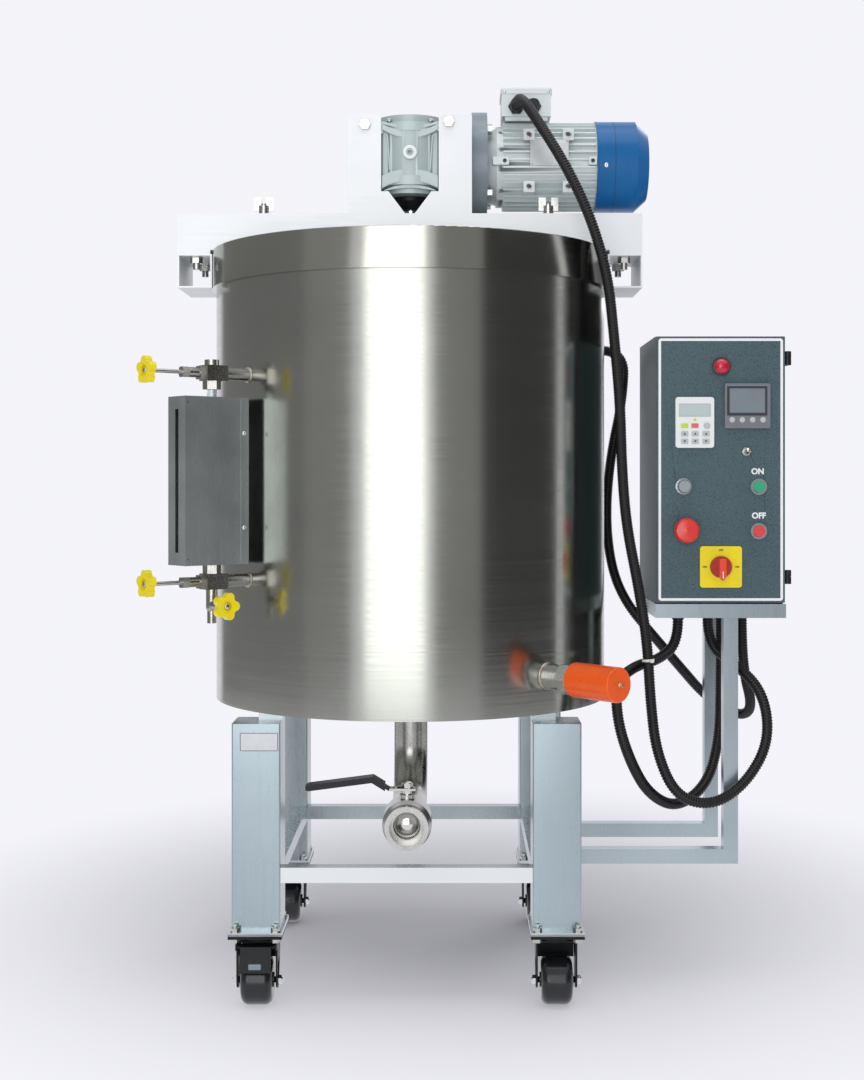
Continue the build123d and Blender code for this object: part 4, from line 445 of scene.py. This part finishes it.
def joint_line(name):
    """A joint's point about the tank axis in millimetres, and its direction."""
    x, y, z = JOINTS[name]["pos_m"]
    return Vector((x * 1000 + BASE_X, y * 1000 + BASE_Y, z * 1000)), Vector(JOINTS[name]["axis"]).normalized()


def from_line(point, line):
    """How far a point is along a joint's line, and how far off it."""
    along = (point - line[0]).dot(line[1])
    return along, (point - line[0] - line[1] * along).length


def smooth_by_angle(obj, angle=32):
    mesh = obj.data
    bm = bmesh.new()
    bm.from_mesh(mesh)
    for face in bm.faces:
        face.smooth = True
    for edge in bm.edges:
        if len(edge.link_faces) == 2 and edge.calc_face_angle(0) > math.radians(angle):
            edge.smooth = False
    bm.to_mesh(mesh)
    bm.free()


def finish_node(node, mat, bevel=0.0):
    obj = frame["nodes"][node]
    for slot_ in obj.material_slots:
        slot_.link = "OBJECT"
        slot_.material = MAT[mat]
    if not obj.material_slots:
        obj.data.materials.append(MAT[mat])
    if bevel:
        soften(obj, bevel, 2, 40)
    return obj


# Cables
MOTOR_CABLE = [
    (192.5, -4.0, 1551.0), (192.5, -82.0, 1551.0), (225.0, -142.0, 1486.0),
    (274.0, -165.0, 1400.0), (314.0, -175.0, 1310.0), (341.0, -176.0, 1215.0), (352.0, -174.0, 1110.0),
    (362.0, -174.0, 1000.0), (365.0, -172.0, 890.0), (373.0, -170.0, 790.0), (393.0, -169.0, 690.0),
    (409.0, -170.0, 590.0), (414.0, -172.0, 490.0), (424.0, -174.0, 400.0), (458.0, -176.0, 325.0),
    (520.0, -177.0, 310.0), (578.0, -178.0, 350.0), (618.0, -172.0, 420.0), (612.0, -152.0, 500.0),
    (572.0, -105.0, 545.0), (530.0, -60.0, 572.0), (530.0, -60.0, 624.0)]
GLAND_TURN = math.radians(14)
TANK_CABLE = [
    (366 * math.cos(GLAND_TURN), 366 * math.sin(GLAND_TURN), 1110.0),
    (412 * math.cos(GLAND_TURN), 412 * math.sin(GLAND_TURN), 1110.0),
    (396.0, 99.0, 1020.0), (372.0, 93.0, 910.0), (363.0, 92.0, 800.0),
    (372.0, 80.0, 705.0), (398.0, 72.0, 640.0), (446.0, 74.0, 582.0), (500.0, 96.0, 520.0), (556.0, 112.0, 456.0),
    (612.0, 84.0, 424.0), (628.0, 24.0, 448.0), (600.0, -10.0, 530.0), (600.0, -10.0, 624.0)]
HEATER_CABLE = [
    (470.0, -110.0, 624.0), (470.0, -110.0, 582.0), (434.0, -126.0, 554.0), (392.0, -142.0, 546.0),
    (352.0, -202.0, 526.0), (352.0, -222.0, 462.0), (376.0, -205.0, 390.0), (412.0, -168.0, 328.0),
    (466.0, -126.0, 296.0), (524.0, -92.0, 330.0), (550.0, -60.0, 400.0), (560.0, -20.0, 480.0),
    (560.0, -20.0, 624.0)]
CABLE_RADIUS = 9.5


def nurbs_line(points):
    """The points that a route's smooth curve runs through."""
    curve = bpy.data.curves.new("route", "CURVE")
    curve.dimensions = "3D"
    curve.resolution_u = 24
    spline = curve.splines.new("NURBS")
    spline.points.add(len(points) - 1)
    for knot, point in zip(spline.points, points):
        knot.co = (*at(*point), 1)
    spline.order_u = 3
    spline.use_endpoint_u = True
    holder = bpy.data.objects.new("route", curve)
    bpy.context.scene.collection.objects.link(holder)
    bpy.context.view_layer.update()
    mesh = bpy.data.meshes.new_from_object(holder.evaluated_get(bpy.context.evaluated_depsgraph_get()))
    line = [vert.co.copy() for vert in mesh.vertices]
    bpy.data.meshes.remove(mesh)
    bpy.data.objects.remove(holder)
    return line


def even(line, step):
    """The same line, read at even steps."""
    out = [line[0].copy()]
    left = step
    for one, two in zip(line, line[1:]):
        run = (two - one).length
        done = 0.0
        while run - done >= left:
            done += left
            out.append(one.lerp(two, done / run))
            left = step
        left -= run - done
    out.append(line[-1].copy())
    return out


def conduit(name, node, points):
    """A ribbed cable cover that follows the route."""
    line = nurbs_line(points)
    rings = even(line, 0.00125)
    sides = 14
    bm = bmesh.new()
    normal = Vector((0, 0, 1)).cross(rings[1] - rings[0])
    if normal.length < 1e-6:
        normal = Vector((1, 0, 0))
    previous = None
    for number, centre in enumerate(rings):
        ahead = rings[min(number + 1, len(rings) - 1)] - rings[max(number - 1, 0)]
        ahead.normalize()
        normal = (normal - ahead * normal.dot(ahead)).normalized()
        across = ahead.cross(normal)
        radius = CABLE_RADIUS / 1000 - (0.0011 if number % 4 in (2, 3) else 0.0)
        ring = [bm.verts.new(centre + (normal * math.cos(2 * math.pi * k / sides)
                                       + across * math.sin(2 * math.pi * k / sides)) * radius) for k in range(sides)]
        if previous:
            for k in range(sides):
                j = (k + 1) % sides
                bm.faces.new((previous[k], previous[j], ring[j], ring[k]))
        else:
            bm.faces.new(ring[::-1])
        previous = ring
    bm.faces.new(previous)
    piece = from_bmesh(name, bm, "machine", "hose")
    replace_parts(piece, node)
    return line


motor_line = conduit("motor_cable_cover", "motor_cable", MOTOR_CABLE)
conduit("tank_cable_cover", "tank_cable", TANK_CABLE)
conduit("heater_cable_cover", "heater_cable", HEATER_CABLE)


# Finishes of the CAD nodes that stay as they are
finish_node("panel_stand", "steel", 1.0)
finish_node("inner_vessel", "inside")
finish_node("outlet_pipe", "cast")
finish_node("valve_body", "zinc", 0.8)
finish_node("valve_ball", "polish")
finish_node("gauge_glass", "glass")
finish_node("gauge_guard", "guard", 0.6)
finish_node("immersion_heater", "zinc", 0.5)
finish_node("heater_cap", "orange")
finish_node("beam_brackets", "beam", 1.5)
finish_node("drive_beam", "beam", 1.5)
finish_node("gearbox_bracket", "beam", 0.8)
finish_node("worm_wheel", "bronze")
finish_node("motor_rotor", "zinc")
finish_node("fan_cowl", "blue", 1.2)
finish_node("cooling_fan", "black")
finish_node("terminal_box", "motor", 1.5)
finish_node("cable_glands", "black", 0.5)
finish_node("agitator", "inside", 1.0)
finish_node("scraper_blades", "ptfe", 0.8)
finish_node("lid_front", "inside", 0.4)
finish_node("lid_rear", "inside", 0.4)
finish_node("on_button", "green", 0.5)
finish_node("off_button", "red_cap", 0.5)
finish_node("stop_button", "red")
finish_node("speed_knob", "silver", 0.4)
finish_node("toggle_lever", "polish")
finish_node("temp_controller", "bezel", 0.5)
finish_node("speed_keypad", "keypad", 0.5)
finish_node("brake_pedal", "caster", 0.8)
swivel = joint_line("swivel_front_left")[0]
slab("pedal_pad", (swivel.x - 10.5, swivel.y - 57.5, 68.5), (swivel.x + 10.5, swivel.y - 50.0, 78.0),
     "brake_pedal", "flange", 1.5)
slab("pedal_lip", (swivel.x - 17.0, swivel.y - 56.2, 65.0), (swivel.x + 17.0, swivel.y - 52.0, 68.0),
     "brake_pedal", "caster", 1.0)
for corner in ("front_left", "front_right", "rear_left", "rear_right"):
    finish_node("wheel_" + corner, "tyre")
    line = joint_line("roll_" + corner)
    for side in (-1, 1):
        lathe(f"axle_nut_{corner}_{'left' if side < 0 else 'right'}", [(6.6, 0), (6.2, 3.2), (4.2, 5.4), (0, 6.4)],
              facing(at(line[0].x + side * 36.0, line[0].y, line[0].z), (side, 0, 0)), "fork_" + corner, "chrome", 24)
    paint("fork_" + corner, "fork_" + corner, ("caster", "chrome"),
          lambda p, line=line: int(abs(from_line(p, line)[0]) > 34.2 and from_line(p, line)[1] < 9), 0.5)


# Finishes of the nodes that hold several solids
split("tank_jacket", "machine", lambda centre, size: "band" if size[2] < 100 and size[0] > 700 else "tank")
paint("foot_plates", "machine", ("steel_x", "caster"), lambda p: int(p.z < 123.2), 0.4)
# Legs: front faces take the lighter copy (painted light), all other faces the darker copy (painted shade).
paint("frame_legs", "machine", ("steel_side_painted_shade", "leg_front_painted_light"), lambda p: int(p.y < -286))
# Rails: front faces take the near-white beam finish, a painted highlight; all other faces take the darker copy of the
# satin stainless, painted shade.
paint("frame_rails", "machine", ("steel_side_painted_shade", "beam"), lambda p: int(p.y < -284), round_off=False)
# The switch's base disc takes a darker copy of the grip's red: painted shade.
paint("main_switch", "main_switch", ("red_grip", "red_painted_shade"), lambda p: int(p.y > -169.5), 1.0)
paint("valve_lever", "ball_valve", ("zinc", "black"), lambda p: int(p.x < -38), 0.6)
paint("gearbox_housing", "machine", ("gear", "flange"), lambda p: int(p.x > 110.5), 1.2)
paint("control_box", "machine", ("box", "black"), lambda p: int(p.x > 647.2), 0.6)
paint("control_door", "control_door", ("box", "black"), lambda p: int(p.x > 647.2), 0.8)
paint("pilot_lamp", "control_door", ("lamp", "dark"), lambda p: int(math.hypot(p.x - 537, p.z - 1062) > 13.2))
split("gauge_valves", "machine", lambda centre, size: "cast")
split("bearings", "machine", lambda centre, size: "black" if centre[2] < 1377 else "zinc")
split("bolts", "machine", lambda centre, size: "zinc")
paint("motor_body", "machine", ("motor", "flange"), lambda p: int(p.x < 139.5), 0.5)
split("door_fittings", "control_door",
      lambda centre, size: "yellow" if size[0] > 60 else ("zinc" if size[0] < 18 else "chrome"))
split("speed_drive", "machine", lambda centre, size: "zinc" if size[0] > 150 else "grey")


def hand_wheel(name, joint):
    """A lobed yellow wheel on a bright stem, with the screw that holds it."""
    line = joint_line(joint)
    points = [Vector((v.co.x * 1000 + BASE_X, v.co.y * 1000 + BASE_Y, v.co.z * 1000))
              for v in frame["nodes"]["handwheel_" + name].data.vertices]
    rim = [from_line(p, line)[0] for p in points if from_line(p, line)[1] > 12]
    low, high = min(rim), max(rim)
    ends = [from_line(p, line)[0] for p in points]
    outward = 1 if abs(max(ends) - high) < abs(min(ends) - low) else -1
    paint("handwheel_" + name, "handwheel_" + name, ("yellow", "zinc"),
          lambda p: int(not (low - 0.3 < from_line(p, line)[0] < high + 0.3 and from_line(p, line)[1] > 3.6)), 1.2)
    face = line[0] + line[1] * (high if outward > 0 else low)
    direction = line[1] * outward
    place = facing(at(*(face - direction * 2.2)), direction)
    lathe(name + "_wheel_screw", [(0, 1.6), (3.4, 1.6), (4.4, 0.9), (4.6, 0), (4.6, -0.6), (0, -0.6)], place,
          "handwheel_" + name, "chrome", 28)


hand_wheel("top", "gauge_valve_top")
hand_wheel("bottom", "gauge_valve_bottom")
hand_wheel("drain", "gauge_drain")


# Control box front
DOOR_FRONT = -160.0


def on_front(x, z, rise=0.0):
    """A frame on the door at a place given about the tank axis, raised towards the camera."""
    return facing(at(x, DOOR_FRONT - rise, z), (0, -1, 0))


ring_plate("door_white_line", round_rectangle(214.0, 451.0, 5.0), round_rectangle(214.0, 451.0, 5.0, 6, 4.4),
           on_front(536.5, 885.0, -0.1), 0.35, "control_door", "white")
words("on_word", "ON", 9.6, on_front(600.0, 881.5), "control_door", "white")
words("off_word", "OFF", 9.6, on_front(602.0, 805.5), "control_door", "white")
for number, (word, x, z) in enumerate((("OFF", 0.0, 28.5), ("ON", -28.0, 0.0), ("ON", 28.0, 0.0))):
    words(f"switch_word_{number + 1}", word, 3.2, on_front(536.4 + x, 717.8 + z, 3.0), "control_door", "black", 0.2)

KEYPAD_AT = (490.9, 965.8)


def keypad_key(name, x, z, width, height, mat, corner=2.0, rise=0.9):
    place = on_front(KEYPAD_AT[0] + x, KEYPAD_AT[1] + z, 7.9)
    return outline(name, round_rectangle(width, height, corner, 4), place, rise, "control_door", mat, 0.3)


keypad_key("keypad_screen_frame", 0, 21.0, 55.0, 23.0, "key", 1.5, 0.3)
outline("keypad_screen", round_rectangle(50.0, 18.5, 1.0, 4), on_front(KEYPAD_AT[0], KEYPAD_AT[1] + 21.0, 8.1), 0.35,
        "control_door", "lcd")
keypad_key("keypad_lamp", 0.0, 4.6, 5.0, 5.0, "lime", 2.4, 0.5)
keypad_key("keypad_run", -17.8, -5.6, 12.5, 8.0, "lime", 2.0)
keypad_key("keypad_stop", 0.0, -5.6, 12.5, 8.0, "pink", 2.0)
lathe("keypad_dial", [(5.6, 0), (5.6, 1.4), (4.8, 2.2), (1.6, 1.6), (0, 1.5)],
      on_front(KEYPAD_AT[0] + 20.5, KEYPAD_AT[1] - 5.6, 7.9), "control_door", "key")
for row, z in enumerate((-19.5, -32.4)):
    for column, x in enumerate((-17.6, 0.6, 19.0)):
        name = f"keypad_key_{row * 3 + column + 1}"
        keypad_key(name, x, z, 12.6, 9.4, "key", 2.0)
        mark = ((-2.4, -1.5), (2.4, -1.5), (0, 2.2)) if row == 0 else ((-2.4, 1.5), (0, -2.2), (2.4, 1.5))
        outline(name + "_mark", mark, on_front(KEYPAD_AT[0] + x, KEYPAD_AT[1] + z, 8.75), 0.15, "control_door", "dark")

CONTROLLER_AT = (581.6, 994.3)
ring_plate("controller_surround",
           [(x - 1.0, z + 8.4) for x, z in round_rectangle(69.0, 50.4, 1.0)],
           [(x - 0.5, z + 8.9) for x, z in round_rectangle(61.5, 42.6, 1.0)],
           on_front(*CONTROLLER_AT, 6.95), 0.3, "control_door", "dark")
outline("controller_screen", [(x - 1.5, z + 10.5) for x, z in round_rectangle(62.6, 44.6, 1.0, 4)],
        on_front(*CONTROLLER_AT, 5.6), 0.5, "control_door", "screen")
for number, x in enumerate((-26.6, -9.2, 8.5, 26.3)):
    place = on_front(CONTROLLER_AT[0] + x, CONTROLLER_AT[1] - 24.0, 6.95)
    lathe(f"controller_key_{number + 1}", [(4.9, 0), (4.9, 0.5), (4.0, 0.5), (4.0, 0.9), (3.4, 1.3), (0, 1.3)], place,
          "control_door", "key")
outline("switch_grip", [(-6, 13), (-4, 15), (4, 15), (6, 13), (6, -13), (2.4, -22), (-2.4, -22), (-6, -13)],
        on_front(536.4, 717.8, 8.6), 17.4, "main_switch", "red_grip", 1.4)
# Thin white strip on the lower face of the grip, where the grip's highlight falls: a painted highlight.
slab("switch_grip_painted_highlight", (535.5, -186.2, 699.0), (537.3, -185.8, 711.0), "main_switch", "white", 0.15)

# Gearbox casting in the window
GEAR_Z = 1448.0


def casting(name, points, back, front, mat="gear", round_by=1.4):
    """A raised form of the gearbox casting: points are X and Z, back and front are Y."""
    place = facing(at(0, back, 0), (0, -1, 0))
    return outline(name, points, place, back - front, "machine", mat, round_by)


def arc_band(middle_low, middle_high, edge_low, edge_high, half=50.2, steps=14):
    """A curved band across the window: heights at its middle and at its ends."""
    lower, upper = [], []
    for k in range(steps + 1):
        x = -half + 2 * half * k / steps
        share = (x / half) ** 2
        lower.append((x, middle_low + (edge_low - middle_low) * share))
        upper.append((x, middle_high + (edge_high - middle_high) * share))
    return lower + upper[::-1]


casting("gearbox_face", [(-50.2, 1392), (50.2, 1392), (50.2, 1500), (-50.2, 1500)], -40.0, -60.0, "gear", 2.0)
casting("gearbox_top_band", arc_band(1474, 1487, 1490, 1500), -50.0, -71.0)
casting("gearbox_top_lip", arc_band(1491, 1497, 1500, 1505), -50.0, -69.5)
casting("gearbox_bottom_band", arc_band(1398, 1420, 1385, 1408), -50.0, -71.0)
casting("gearbox_bottom_lip", arc_band(1386, 1393, 1380.5, 1382.5, 46.0), -50.0, -68.0)
for number, (low_x, high_x) in enumerate(((-36.0, -40.0), (-12.0, -17.0), (12.0, 17.0), (36.0, 40.0))):
    casting(f"gearbox_rib_{number + 1}", [(low_x - 1.3, 1418), (low_x + 1.3, 1418), (high_x + 1.3, 1480),
                                          (high_x - 1.3, 1480)], -56.0, -67.5, "gear", 0.8)
    casting(f"gearbox_web_{number + 1}", [(low_x * 0.9 - 5.0, 1446), (low_x * 0.9 + 5.0, 1446),
                                          (low_x * 0.9 + 3.0, 1450), (low_x * 0.9 - 3.0, 1450)], -56.0, -63.5, "gear", 0.6)
lathe("gearbox_plug_ring", [(7.0, 0), (12.4, 0), (12.4, 1.6), (10.6, 2.2), (7.0, 2.2)],
      facing(at(0, -76.6, GEAR_Z), (0, -1, 0)), "machine", "white", 44)
for number, x in enumerate((-37.0, 37.0)):
    lathe(f"gearbox_cover_bolt_{number + 1}", [(5.2, 0), (5.2, 4.0), (4.6, 5.0), (0, 5.0)],
          facing(at(x, -62.0, 1505.0), (0, 0, 1)), "machine", "zinc", 6)

# Motor
slab("motor_plate_boss", (222, -17.6, 1441), (280, -6, 1478), "machine", "motor", 1.0)
slab("motor_plate", (216, -19.0, 1435.5), (286, -17.8, 1483.5), "machine", "badge", 0.4)
for number, (x, z) in enumerate(((219.5, 1439), (282.5, 1439), (219.5, 1480), (282.5, 1480))):
    lathe(f"motor_plate_rivet_{number + 1}", [(1.7, 0), (1.4, 0.7), (0, 1.0)], facing(at(x, -18.9, z), (0, -1, 0)),
          "machine", "zinc", 16)
slab("motor_lug_left", (148, -20.5, 1437), (178, -4, 1452), "machine", "motor", 1.2)
slab("motor_lug_right", (322, -20.5, 1437), (337, -4, 1452), "machine", "motor", 1.2)
for number, x in enumerate((170.0, 329.5)):
    lathe(f"motor_lug_screw_{number + 1}", [(3.6, 0), (3.6, 2.2), (1.8, 2.2), (1.8, 0.8), (0, 0.8)],
          facing(at(x, -20.4, 1444.5), (0, -1, 0)), "machine", "dark", 24)
for number, (x, z) in enumerate(((214.0, 1398.0), (285.0, 1398.0), (214.0, 1492.0), (285.0, 1492.0))):
    lathe(f"motor_pad_socket_{number + 1}", [(6.0, 0), (6.0, 0.8), (4.2, 0.8), (4.2, 0.2), (0, 0.2)],
          facing(at(x, -20.2, z), (0, -1, 0)), "machine", "zinc", 28)
# A dark disc in each pad socket's hollow: painted shade.
for number, (x, z) in enumerate(((214.0, 1398.0), (285.0, 1398.0), (214.0, 1492.0), (285.0, 1492.0))):
    lathe(f"motor_pad_hollow_painted_shade_{number + 1}", [(3.9, 0), (3.9, 0.5), (0, 0.5)], facing(at(x, -20.0, z), (0, -1, 0)),
          "machine", "dark", 24)
COWL_AXIS = facing(at(0, 63, 1448), (1, 0, 0))
lathe("cowl_seam", [(82.6, 370.4), (83.15, 370.4), (83.15, 371.8), (82.6, 371.8)], COWL_AXIS, "machine", "seam", 96)
lathe("cowl_rear_ring", [(82.4, 338.4), (83.5, 338.4), (83.5, 341.4), (82.4, 341.4)], COWL_AXIS, "machine", "blue", 96)
for number, (x, angle) in enumerate(((354.0, -8.0), (346.0, 90.0), (354.0, -172.0))):
    turn = math.radians(angle)
    spot = Vector((x, 63 - 82.8 * math.cos(turn), 1448 + 82.8 * math.sin(turn)))
    lathe(f"cowl_screw_{number + 1}", [(4.6, 0), (4.6, 1.2), (3.4, 2.4), (1.2, 2.6), (1.0, 1.8), (0, 1.8)],
          facing(at(*spot), (0, -math.cos(turn), math.sin(turn))), "machine", "chrome", 24)
for number, (x, z) in enumerate(((171.0, 1579.0), (251.0, 1579.0))):
    lathe(f"terminal_screw_{number + 1}", [(2.8, 0), (2.8, 0.7), (1.2, 1.0), (0, 0.6)],
          facing(at(x, 18.0, z), (0, -1, 0)), "machine", "zinc", 20)

# Bare plate on the front left leg
BADGE = facing(at(-241.8, -286.9, 437.6), (0, -1, 0))
outline("leg_plate", round_rectangle(65.0, 32.5, 4.0), BADGE, 0.9, "machine", "badge", 0.3)
ring_plate("leg_plate_edge", round_rectangle(65.0, 32.5, 4.0, 6, 1.4), round_rectangle(65.0, 32.5, 4.0, 6, 2.4),
           facing(at(-241.8, -287.75, 437.6), (0, -1, 0)), 0.25, "machine", "dark")

# Level gauge
GAUGE = math.radians(-50)


def by_gauge(x, y):
    return x * math.cos(GAUGE) - y * math.sin(GAUGE), x * math.sin(GAUGE) + y * math.cos(GAUGE)


GUARD_SIDE = (math.cos(GAUGE), math.sin(GAUGE), 0)
flange = facing(at(*by_gauge(26.9, -373.5), 865.5), GUARD_SIDE)
outline("guard_flange", round_rectangle(15.0, 268.0, 1.5, 3), flange, 1.0, "machine", "guard", 0.3)
for number, z in enumerate((944.0, 788.0)):
    lathe(f"guard_screw_{number + 1}", [(4.0, 0), (3.8, 1.0), (2.6, 2.2), (0, 2.8)],
          facing(at(*by_gauge(27.8, -375.0), z), GUARD_SIDE), "machine", "chrome", 28)
for number, z in enumerate((993.0, 739.0)):
    lathe(f"guard_rivet_{number + 1}", [(1.6, 0), (1.3, 0.6), (0, 0.8)],
          facing(at(*by_gauge(27.0, -481.0), z), GUARD_SIDE), "machine", "dark", 16)


def weld(name, x, y, z, direction, radius):
    lathe(name, [(radius - 0.8, 2.6), (radius + 0.6, 2.2), (radius + 2.2, 0.8), (radius + 2.8, -1.2), (radius, -2.5)],
          facing(at(x, y, z), direction), "machine", "weld", 56)


for name, z in (("gauge_weld_top", 1043.0), ("gauge_weld_bottom", 700.0)):
    weld(name, *by_gauge(0, -350.4), z, (math.sin(GAUGE), -math.cos(GAUGE), 0), 10.9)
HEATER = math.radians(42)
OUT = (math.sin(HEATER), -math.cos(HEATER), 0)
weld("heater_weld", 350.6 * OUT[0], 350.6 * OUT[1], 542.0, OUT, 21.7)
lathe("heater_lead_tip", [(4.2, 0), (4.2, 2.0), (2.6, 3.0), (2.6, 7.0), (0, 7.4)],
      facing(at(506.8 * OUT[0], 506.8 * OUT[1], 542.0), OUT), "machine", "bronze", 24)
weld("outlet_weld", 0, 0, 478.5, (0, 0, -1), 30.4)

# Dark plate in the fork's black behind each wheel, between the fork's plates, where the fork shows shade: painted
# shade
for corner in ("front_left", "front_right", "rear_left", "rear_right"):
    swivel = joint_line("swivel_" + corner)[0]
    trail = joint_line("roll_" + corner)[0] - swivel
    side = 1 if trail.y < 0 else -1
    near, far = sorted((swivel.y + side * 24.0, swivel.y + side * 26.5))
    slab("fork_painted_shade_plate_" + corner, (swivel.x - 31.5, near, 67.0), (swivel.x + 31.5, far, 106.0),
         "fork_" + corner, "caster", 0.8)

# Tie round the motor cable
tie_at = min(motor_line, key=lambda point: abs(point.z - 0.557) + abs(point.x - at(413, 0, 0).x) * 0.2)
tie_next = motor_line[motor_line.index(tie_at) + 1]
tie_along = (tie_next - tie_at).normalized()
lathe("cable_tie", [(9.2, -2.2), (10.7, -2.2), (10.7, 2.2), (9.2, 2.2), (9.2, -2.2)], facing(tie_at, tie_along),
      "machine", "tie", 36)
tie_spot = tie_at + Vector((0.0045, -0.0104, 0))
TIE = facing(tie_spot, (0.4, -0.9, 0))
outline("cable_tie_head", round_rectangle(6.5, 6.0, 1.0, 3), TIE, 3.0, "machine", "tie", 0.4)


# Floor, backdrop and light
ROOM_COLOR = (0.905, 0.900, 0.960, 1)


ROOM_LIGHT = (0.52, 0.53, 0.55, 1)
FLOOR_COLOR = (0.72, 0.71, 0.75, 1)
# Centre and reach of a broad painted shadow on the floor; within it the floor also keeps the machine's real shadow.
SHADOW_CENTRE = (0, 0.42, 0)
SHADOW_NEAR, SHADOW_FAR = 0.2, 1.35
CARD_RADIUS, CARD_LOW, CARD_HIGH = 3300, 0.02, 2.7


def studio_floor():
    """A pale floor, lit near the machine where it keeps the machine's real shadow; its blend from this lit floor into
    the brighter backdrop's colour further off paints a broad shadow about SHADOW_CENTRE.

    Glossy and transmission rays see the backdrop's colour all over it."""
    bm = bmesh.new()
    bmesh.ops.create_grid(bm, x_segments=1, y_segments=1, size=30)
    mesh = bpy.data.meshes.new("floor")
    bm.to_mesh(mesh)
    bm.free()
    obj = bpy.data.objects.new("floor", mesh)
    bpy.context.scene.collection.objects.link(obj)
    mat = bpy.data.materials.new("floor")
    mat.use_nodes = True
    nodes, links = mat.node_tree.nodes, mat.node_tree.links
    near = nodes["Principled BSDF"]
    near.inputs["Base Color"].default_value = FLOOR_COLOR
    near.inputs["Roughness"].default_value = 0.7
    far = nodes.new("ShaderNodeEmission")
    far.inputs["Color"].default_value = ROOM_COLOR
    place = nodes.new("ShaderNodeTexCoord")
    reach = nodes.new("ShaderNodeVectorMath")
    reach.operation = "LENGTH"
    middle = nodes.new("ShaderNodeVectorMath")
    middle.operation = "SUBTRACT"
    middle.inputs[1].default_value = SHADOW_CENTRE
    links.new(place.outputs["Object"], middle.inputs[0])
    links.new(middle.outputs["Vector"], reach.inputs[0])
    share = nodes.new("ShaderNodeMapRange")
    share.interpolation_type = "SMOOTHSTEP"
    share.inputs["From Min"].default_value = SHADOW_NEAR
    share.inputs["From Max"].default_value = SHADOW_FAR
    links.new(reach.outputs["Value"], share.inputs["Value"])
    mix = nodes.new("ShaderNodeMixShader")
    ray = nodes.new("ShaderNodeLightPath")
    mirrored = nodes.new("ShaderNodeMath")
    mirrored.operation = "MAXIMUM"
    links.new(share.outputs["Result"], mirrored.inputs[0])
    links.new(ray.outputs["Is Glossy Ray"], mirrored.inputs[1])
    through = nodes.new("ShaderNodeMath")
    through.operation = "MAXIMUM"
    links.new(mirrored.outputs["Value"], through.inputs[0])
    links.new(ray.outputs["Is Transmission Ray"], through.inputs[1])
    links.new(through.outputs["Value"], mix.inputs["Fac"])
    links.new(near.outputs["BSDF"], mix.inputs[1])
    links.new(far.outputs["Emission"], mix.inputs[2])
    links.new(mix.outputs["Shader"], nodes["Material Output"].inputs["Surface"])
    mesh.materials.append(mat)


studio_floor()


def area_light(name, place, target, width, height, power, color=(1, 1, 1)):
    data = bpy.data.lights.new(name, "AREA")
    data.shape = "RECTANGLE"
    data.size = width
    data.size_y = height
    data.energy = power
    data.color = color
    obj = bpy.data.objects.new(name, data)
    bpy.context.scene.collection.objects.link(obj)
    obj.location = place
    obj.rotation_mode = "QUATERNION"
    obj.rotation_quaternion = (Vector(target) - Vector(place)).to_track_quat("-Z", "Y")
    return obj


area_light("key", (-0.62, -3.62, 1.32), (-0.62, 0, 1.32), 2.15, 2.5, 35)
area_light("top", (0.1, -0.6, 4.2), (0, 0, 0.8), 3.2, 2.6, 40)
area_light("back", (1.8, 3.2, 2.6), (0, 0, 0.9), 1.6, 2.2, 20)


def grey_card(name, start, stop, level):
    """A tall curved card of an even tone, which only glossy rays see. Angles are from -Y towards +X."""
    bm = bmesh.new()
    low, high = [], []
    for k in range(13):
        turn = math.radians(start + (stop - start) * k / 12)
        spot = at(CARD_RADIUS * math.sin(turn), -CARD_RADIUS * math.cos(turn), 0)
        low.append(bm.verts.new((spot.x, spot.y, CARD_LOW)))
        high.append(bm.verts.new((spot.x, spot.y, CARD_HIGH)))
    for k in range(12):
        bm.faces.new((low[k], low[k + 1], high[k + 1], high[k]))
    mesh = bpy.data.meshes.new(name)
    bm.to_mesh(mesh)
    bm.free()
    obj = bpy.data.objects.new(name, mesh)
    bpy.context.scene.collection.objects.link(obj)
    mat = bpy.data.materials.new(name)
    mat.use_nodes = True
    shader = mat.node_tree.nodes["Principled BSDF"]
    shader.inputs["Base Color"].default_value = (0, 0, 0, 1)
    shader.inputs["Specular IOR Level"].default_value = 0
    shader.inputs["Emission Color"].default_value = (level, level, level * 1.02, 1)
    shader.inputs["Emission Strength"].default_value = 1
    mesh.materials.append(mat)
    for kind in ("camera", "diffuse", "transmission", "volume_scatter", "shadow"):
        setattr(obj, "visible_" + kind, False)


grey_card("card_left", -138, -58, 0.26)
grey_card("card_left_near", -58, -31, 0.36)
grey_card("card_right_near", 14, 40, 0.33)
grey_card("card_right", 40, 90, 0.06)
grey_card("card_right_black", 96, 150, 0.004)

world = bpy.data.worlds.new("studio")
bpy.context.scene.world = world
world.use_nodes = True
wn, wl = world.node_tree.nodes, world.node_tree.links
background = wn["Background"]
path = wn.new("ShaderNodeLightPath")
shown = wn.new("ShaderNodeMath")
shown.operation = "MAXIMUM"
wl.new(path.outputs["Is Camera Ray"], shown.inputs[0])
wl.new(path.outputs["Is Glossy Ray"], shown.inputs[1])
shown_too = wn.new("ShaderNodeMath")
shown_too.operation = "MAXIMUM"
wl.new(shown.outputs["Value"], shown_too.inputs[0])
wl.new(path.outputs["Is Transmission Ray"], shown_too.inputs[1])
seen = wn.new("ShaderNodeMix")
seen.data_type = "RGBA"
wl.new(shown_too.outputs["Value"], seen.inputs["Factor"])
seen.inputs["A"].default_value = ROOM_LIGHT
seen.inputs["B"].default_value = ROOM_COLOR
wl.new(seen.outputs["Result"], background.inputs["Color"])
background.inputs["Strength"].default_value = 1.0
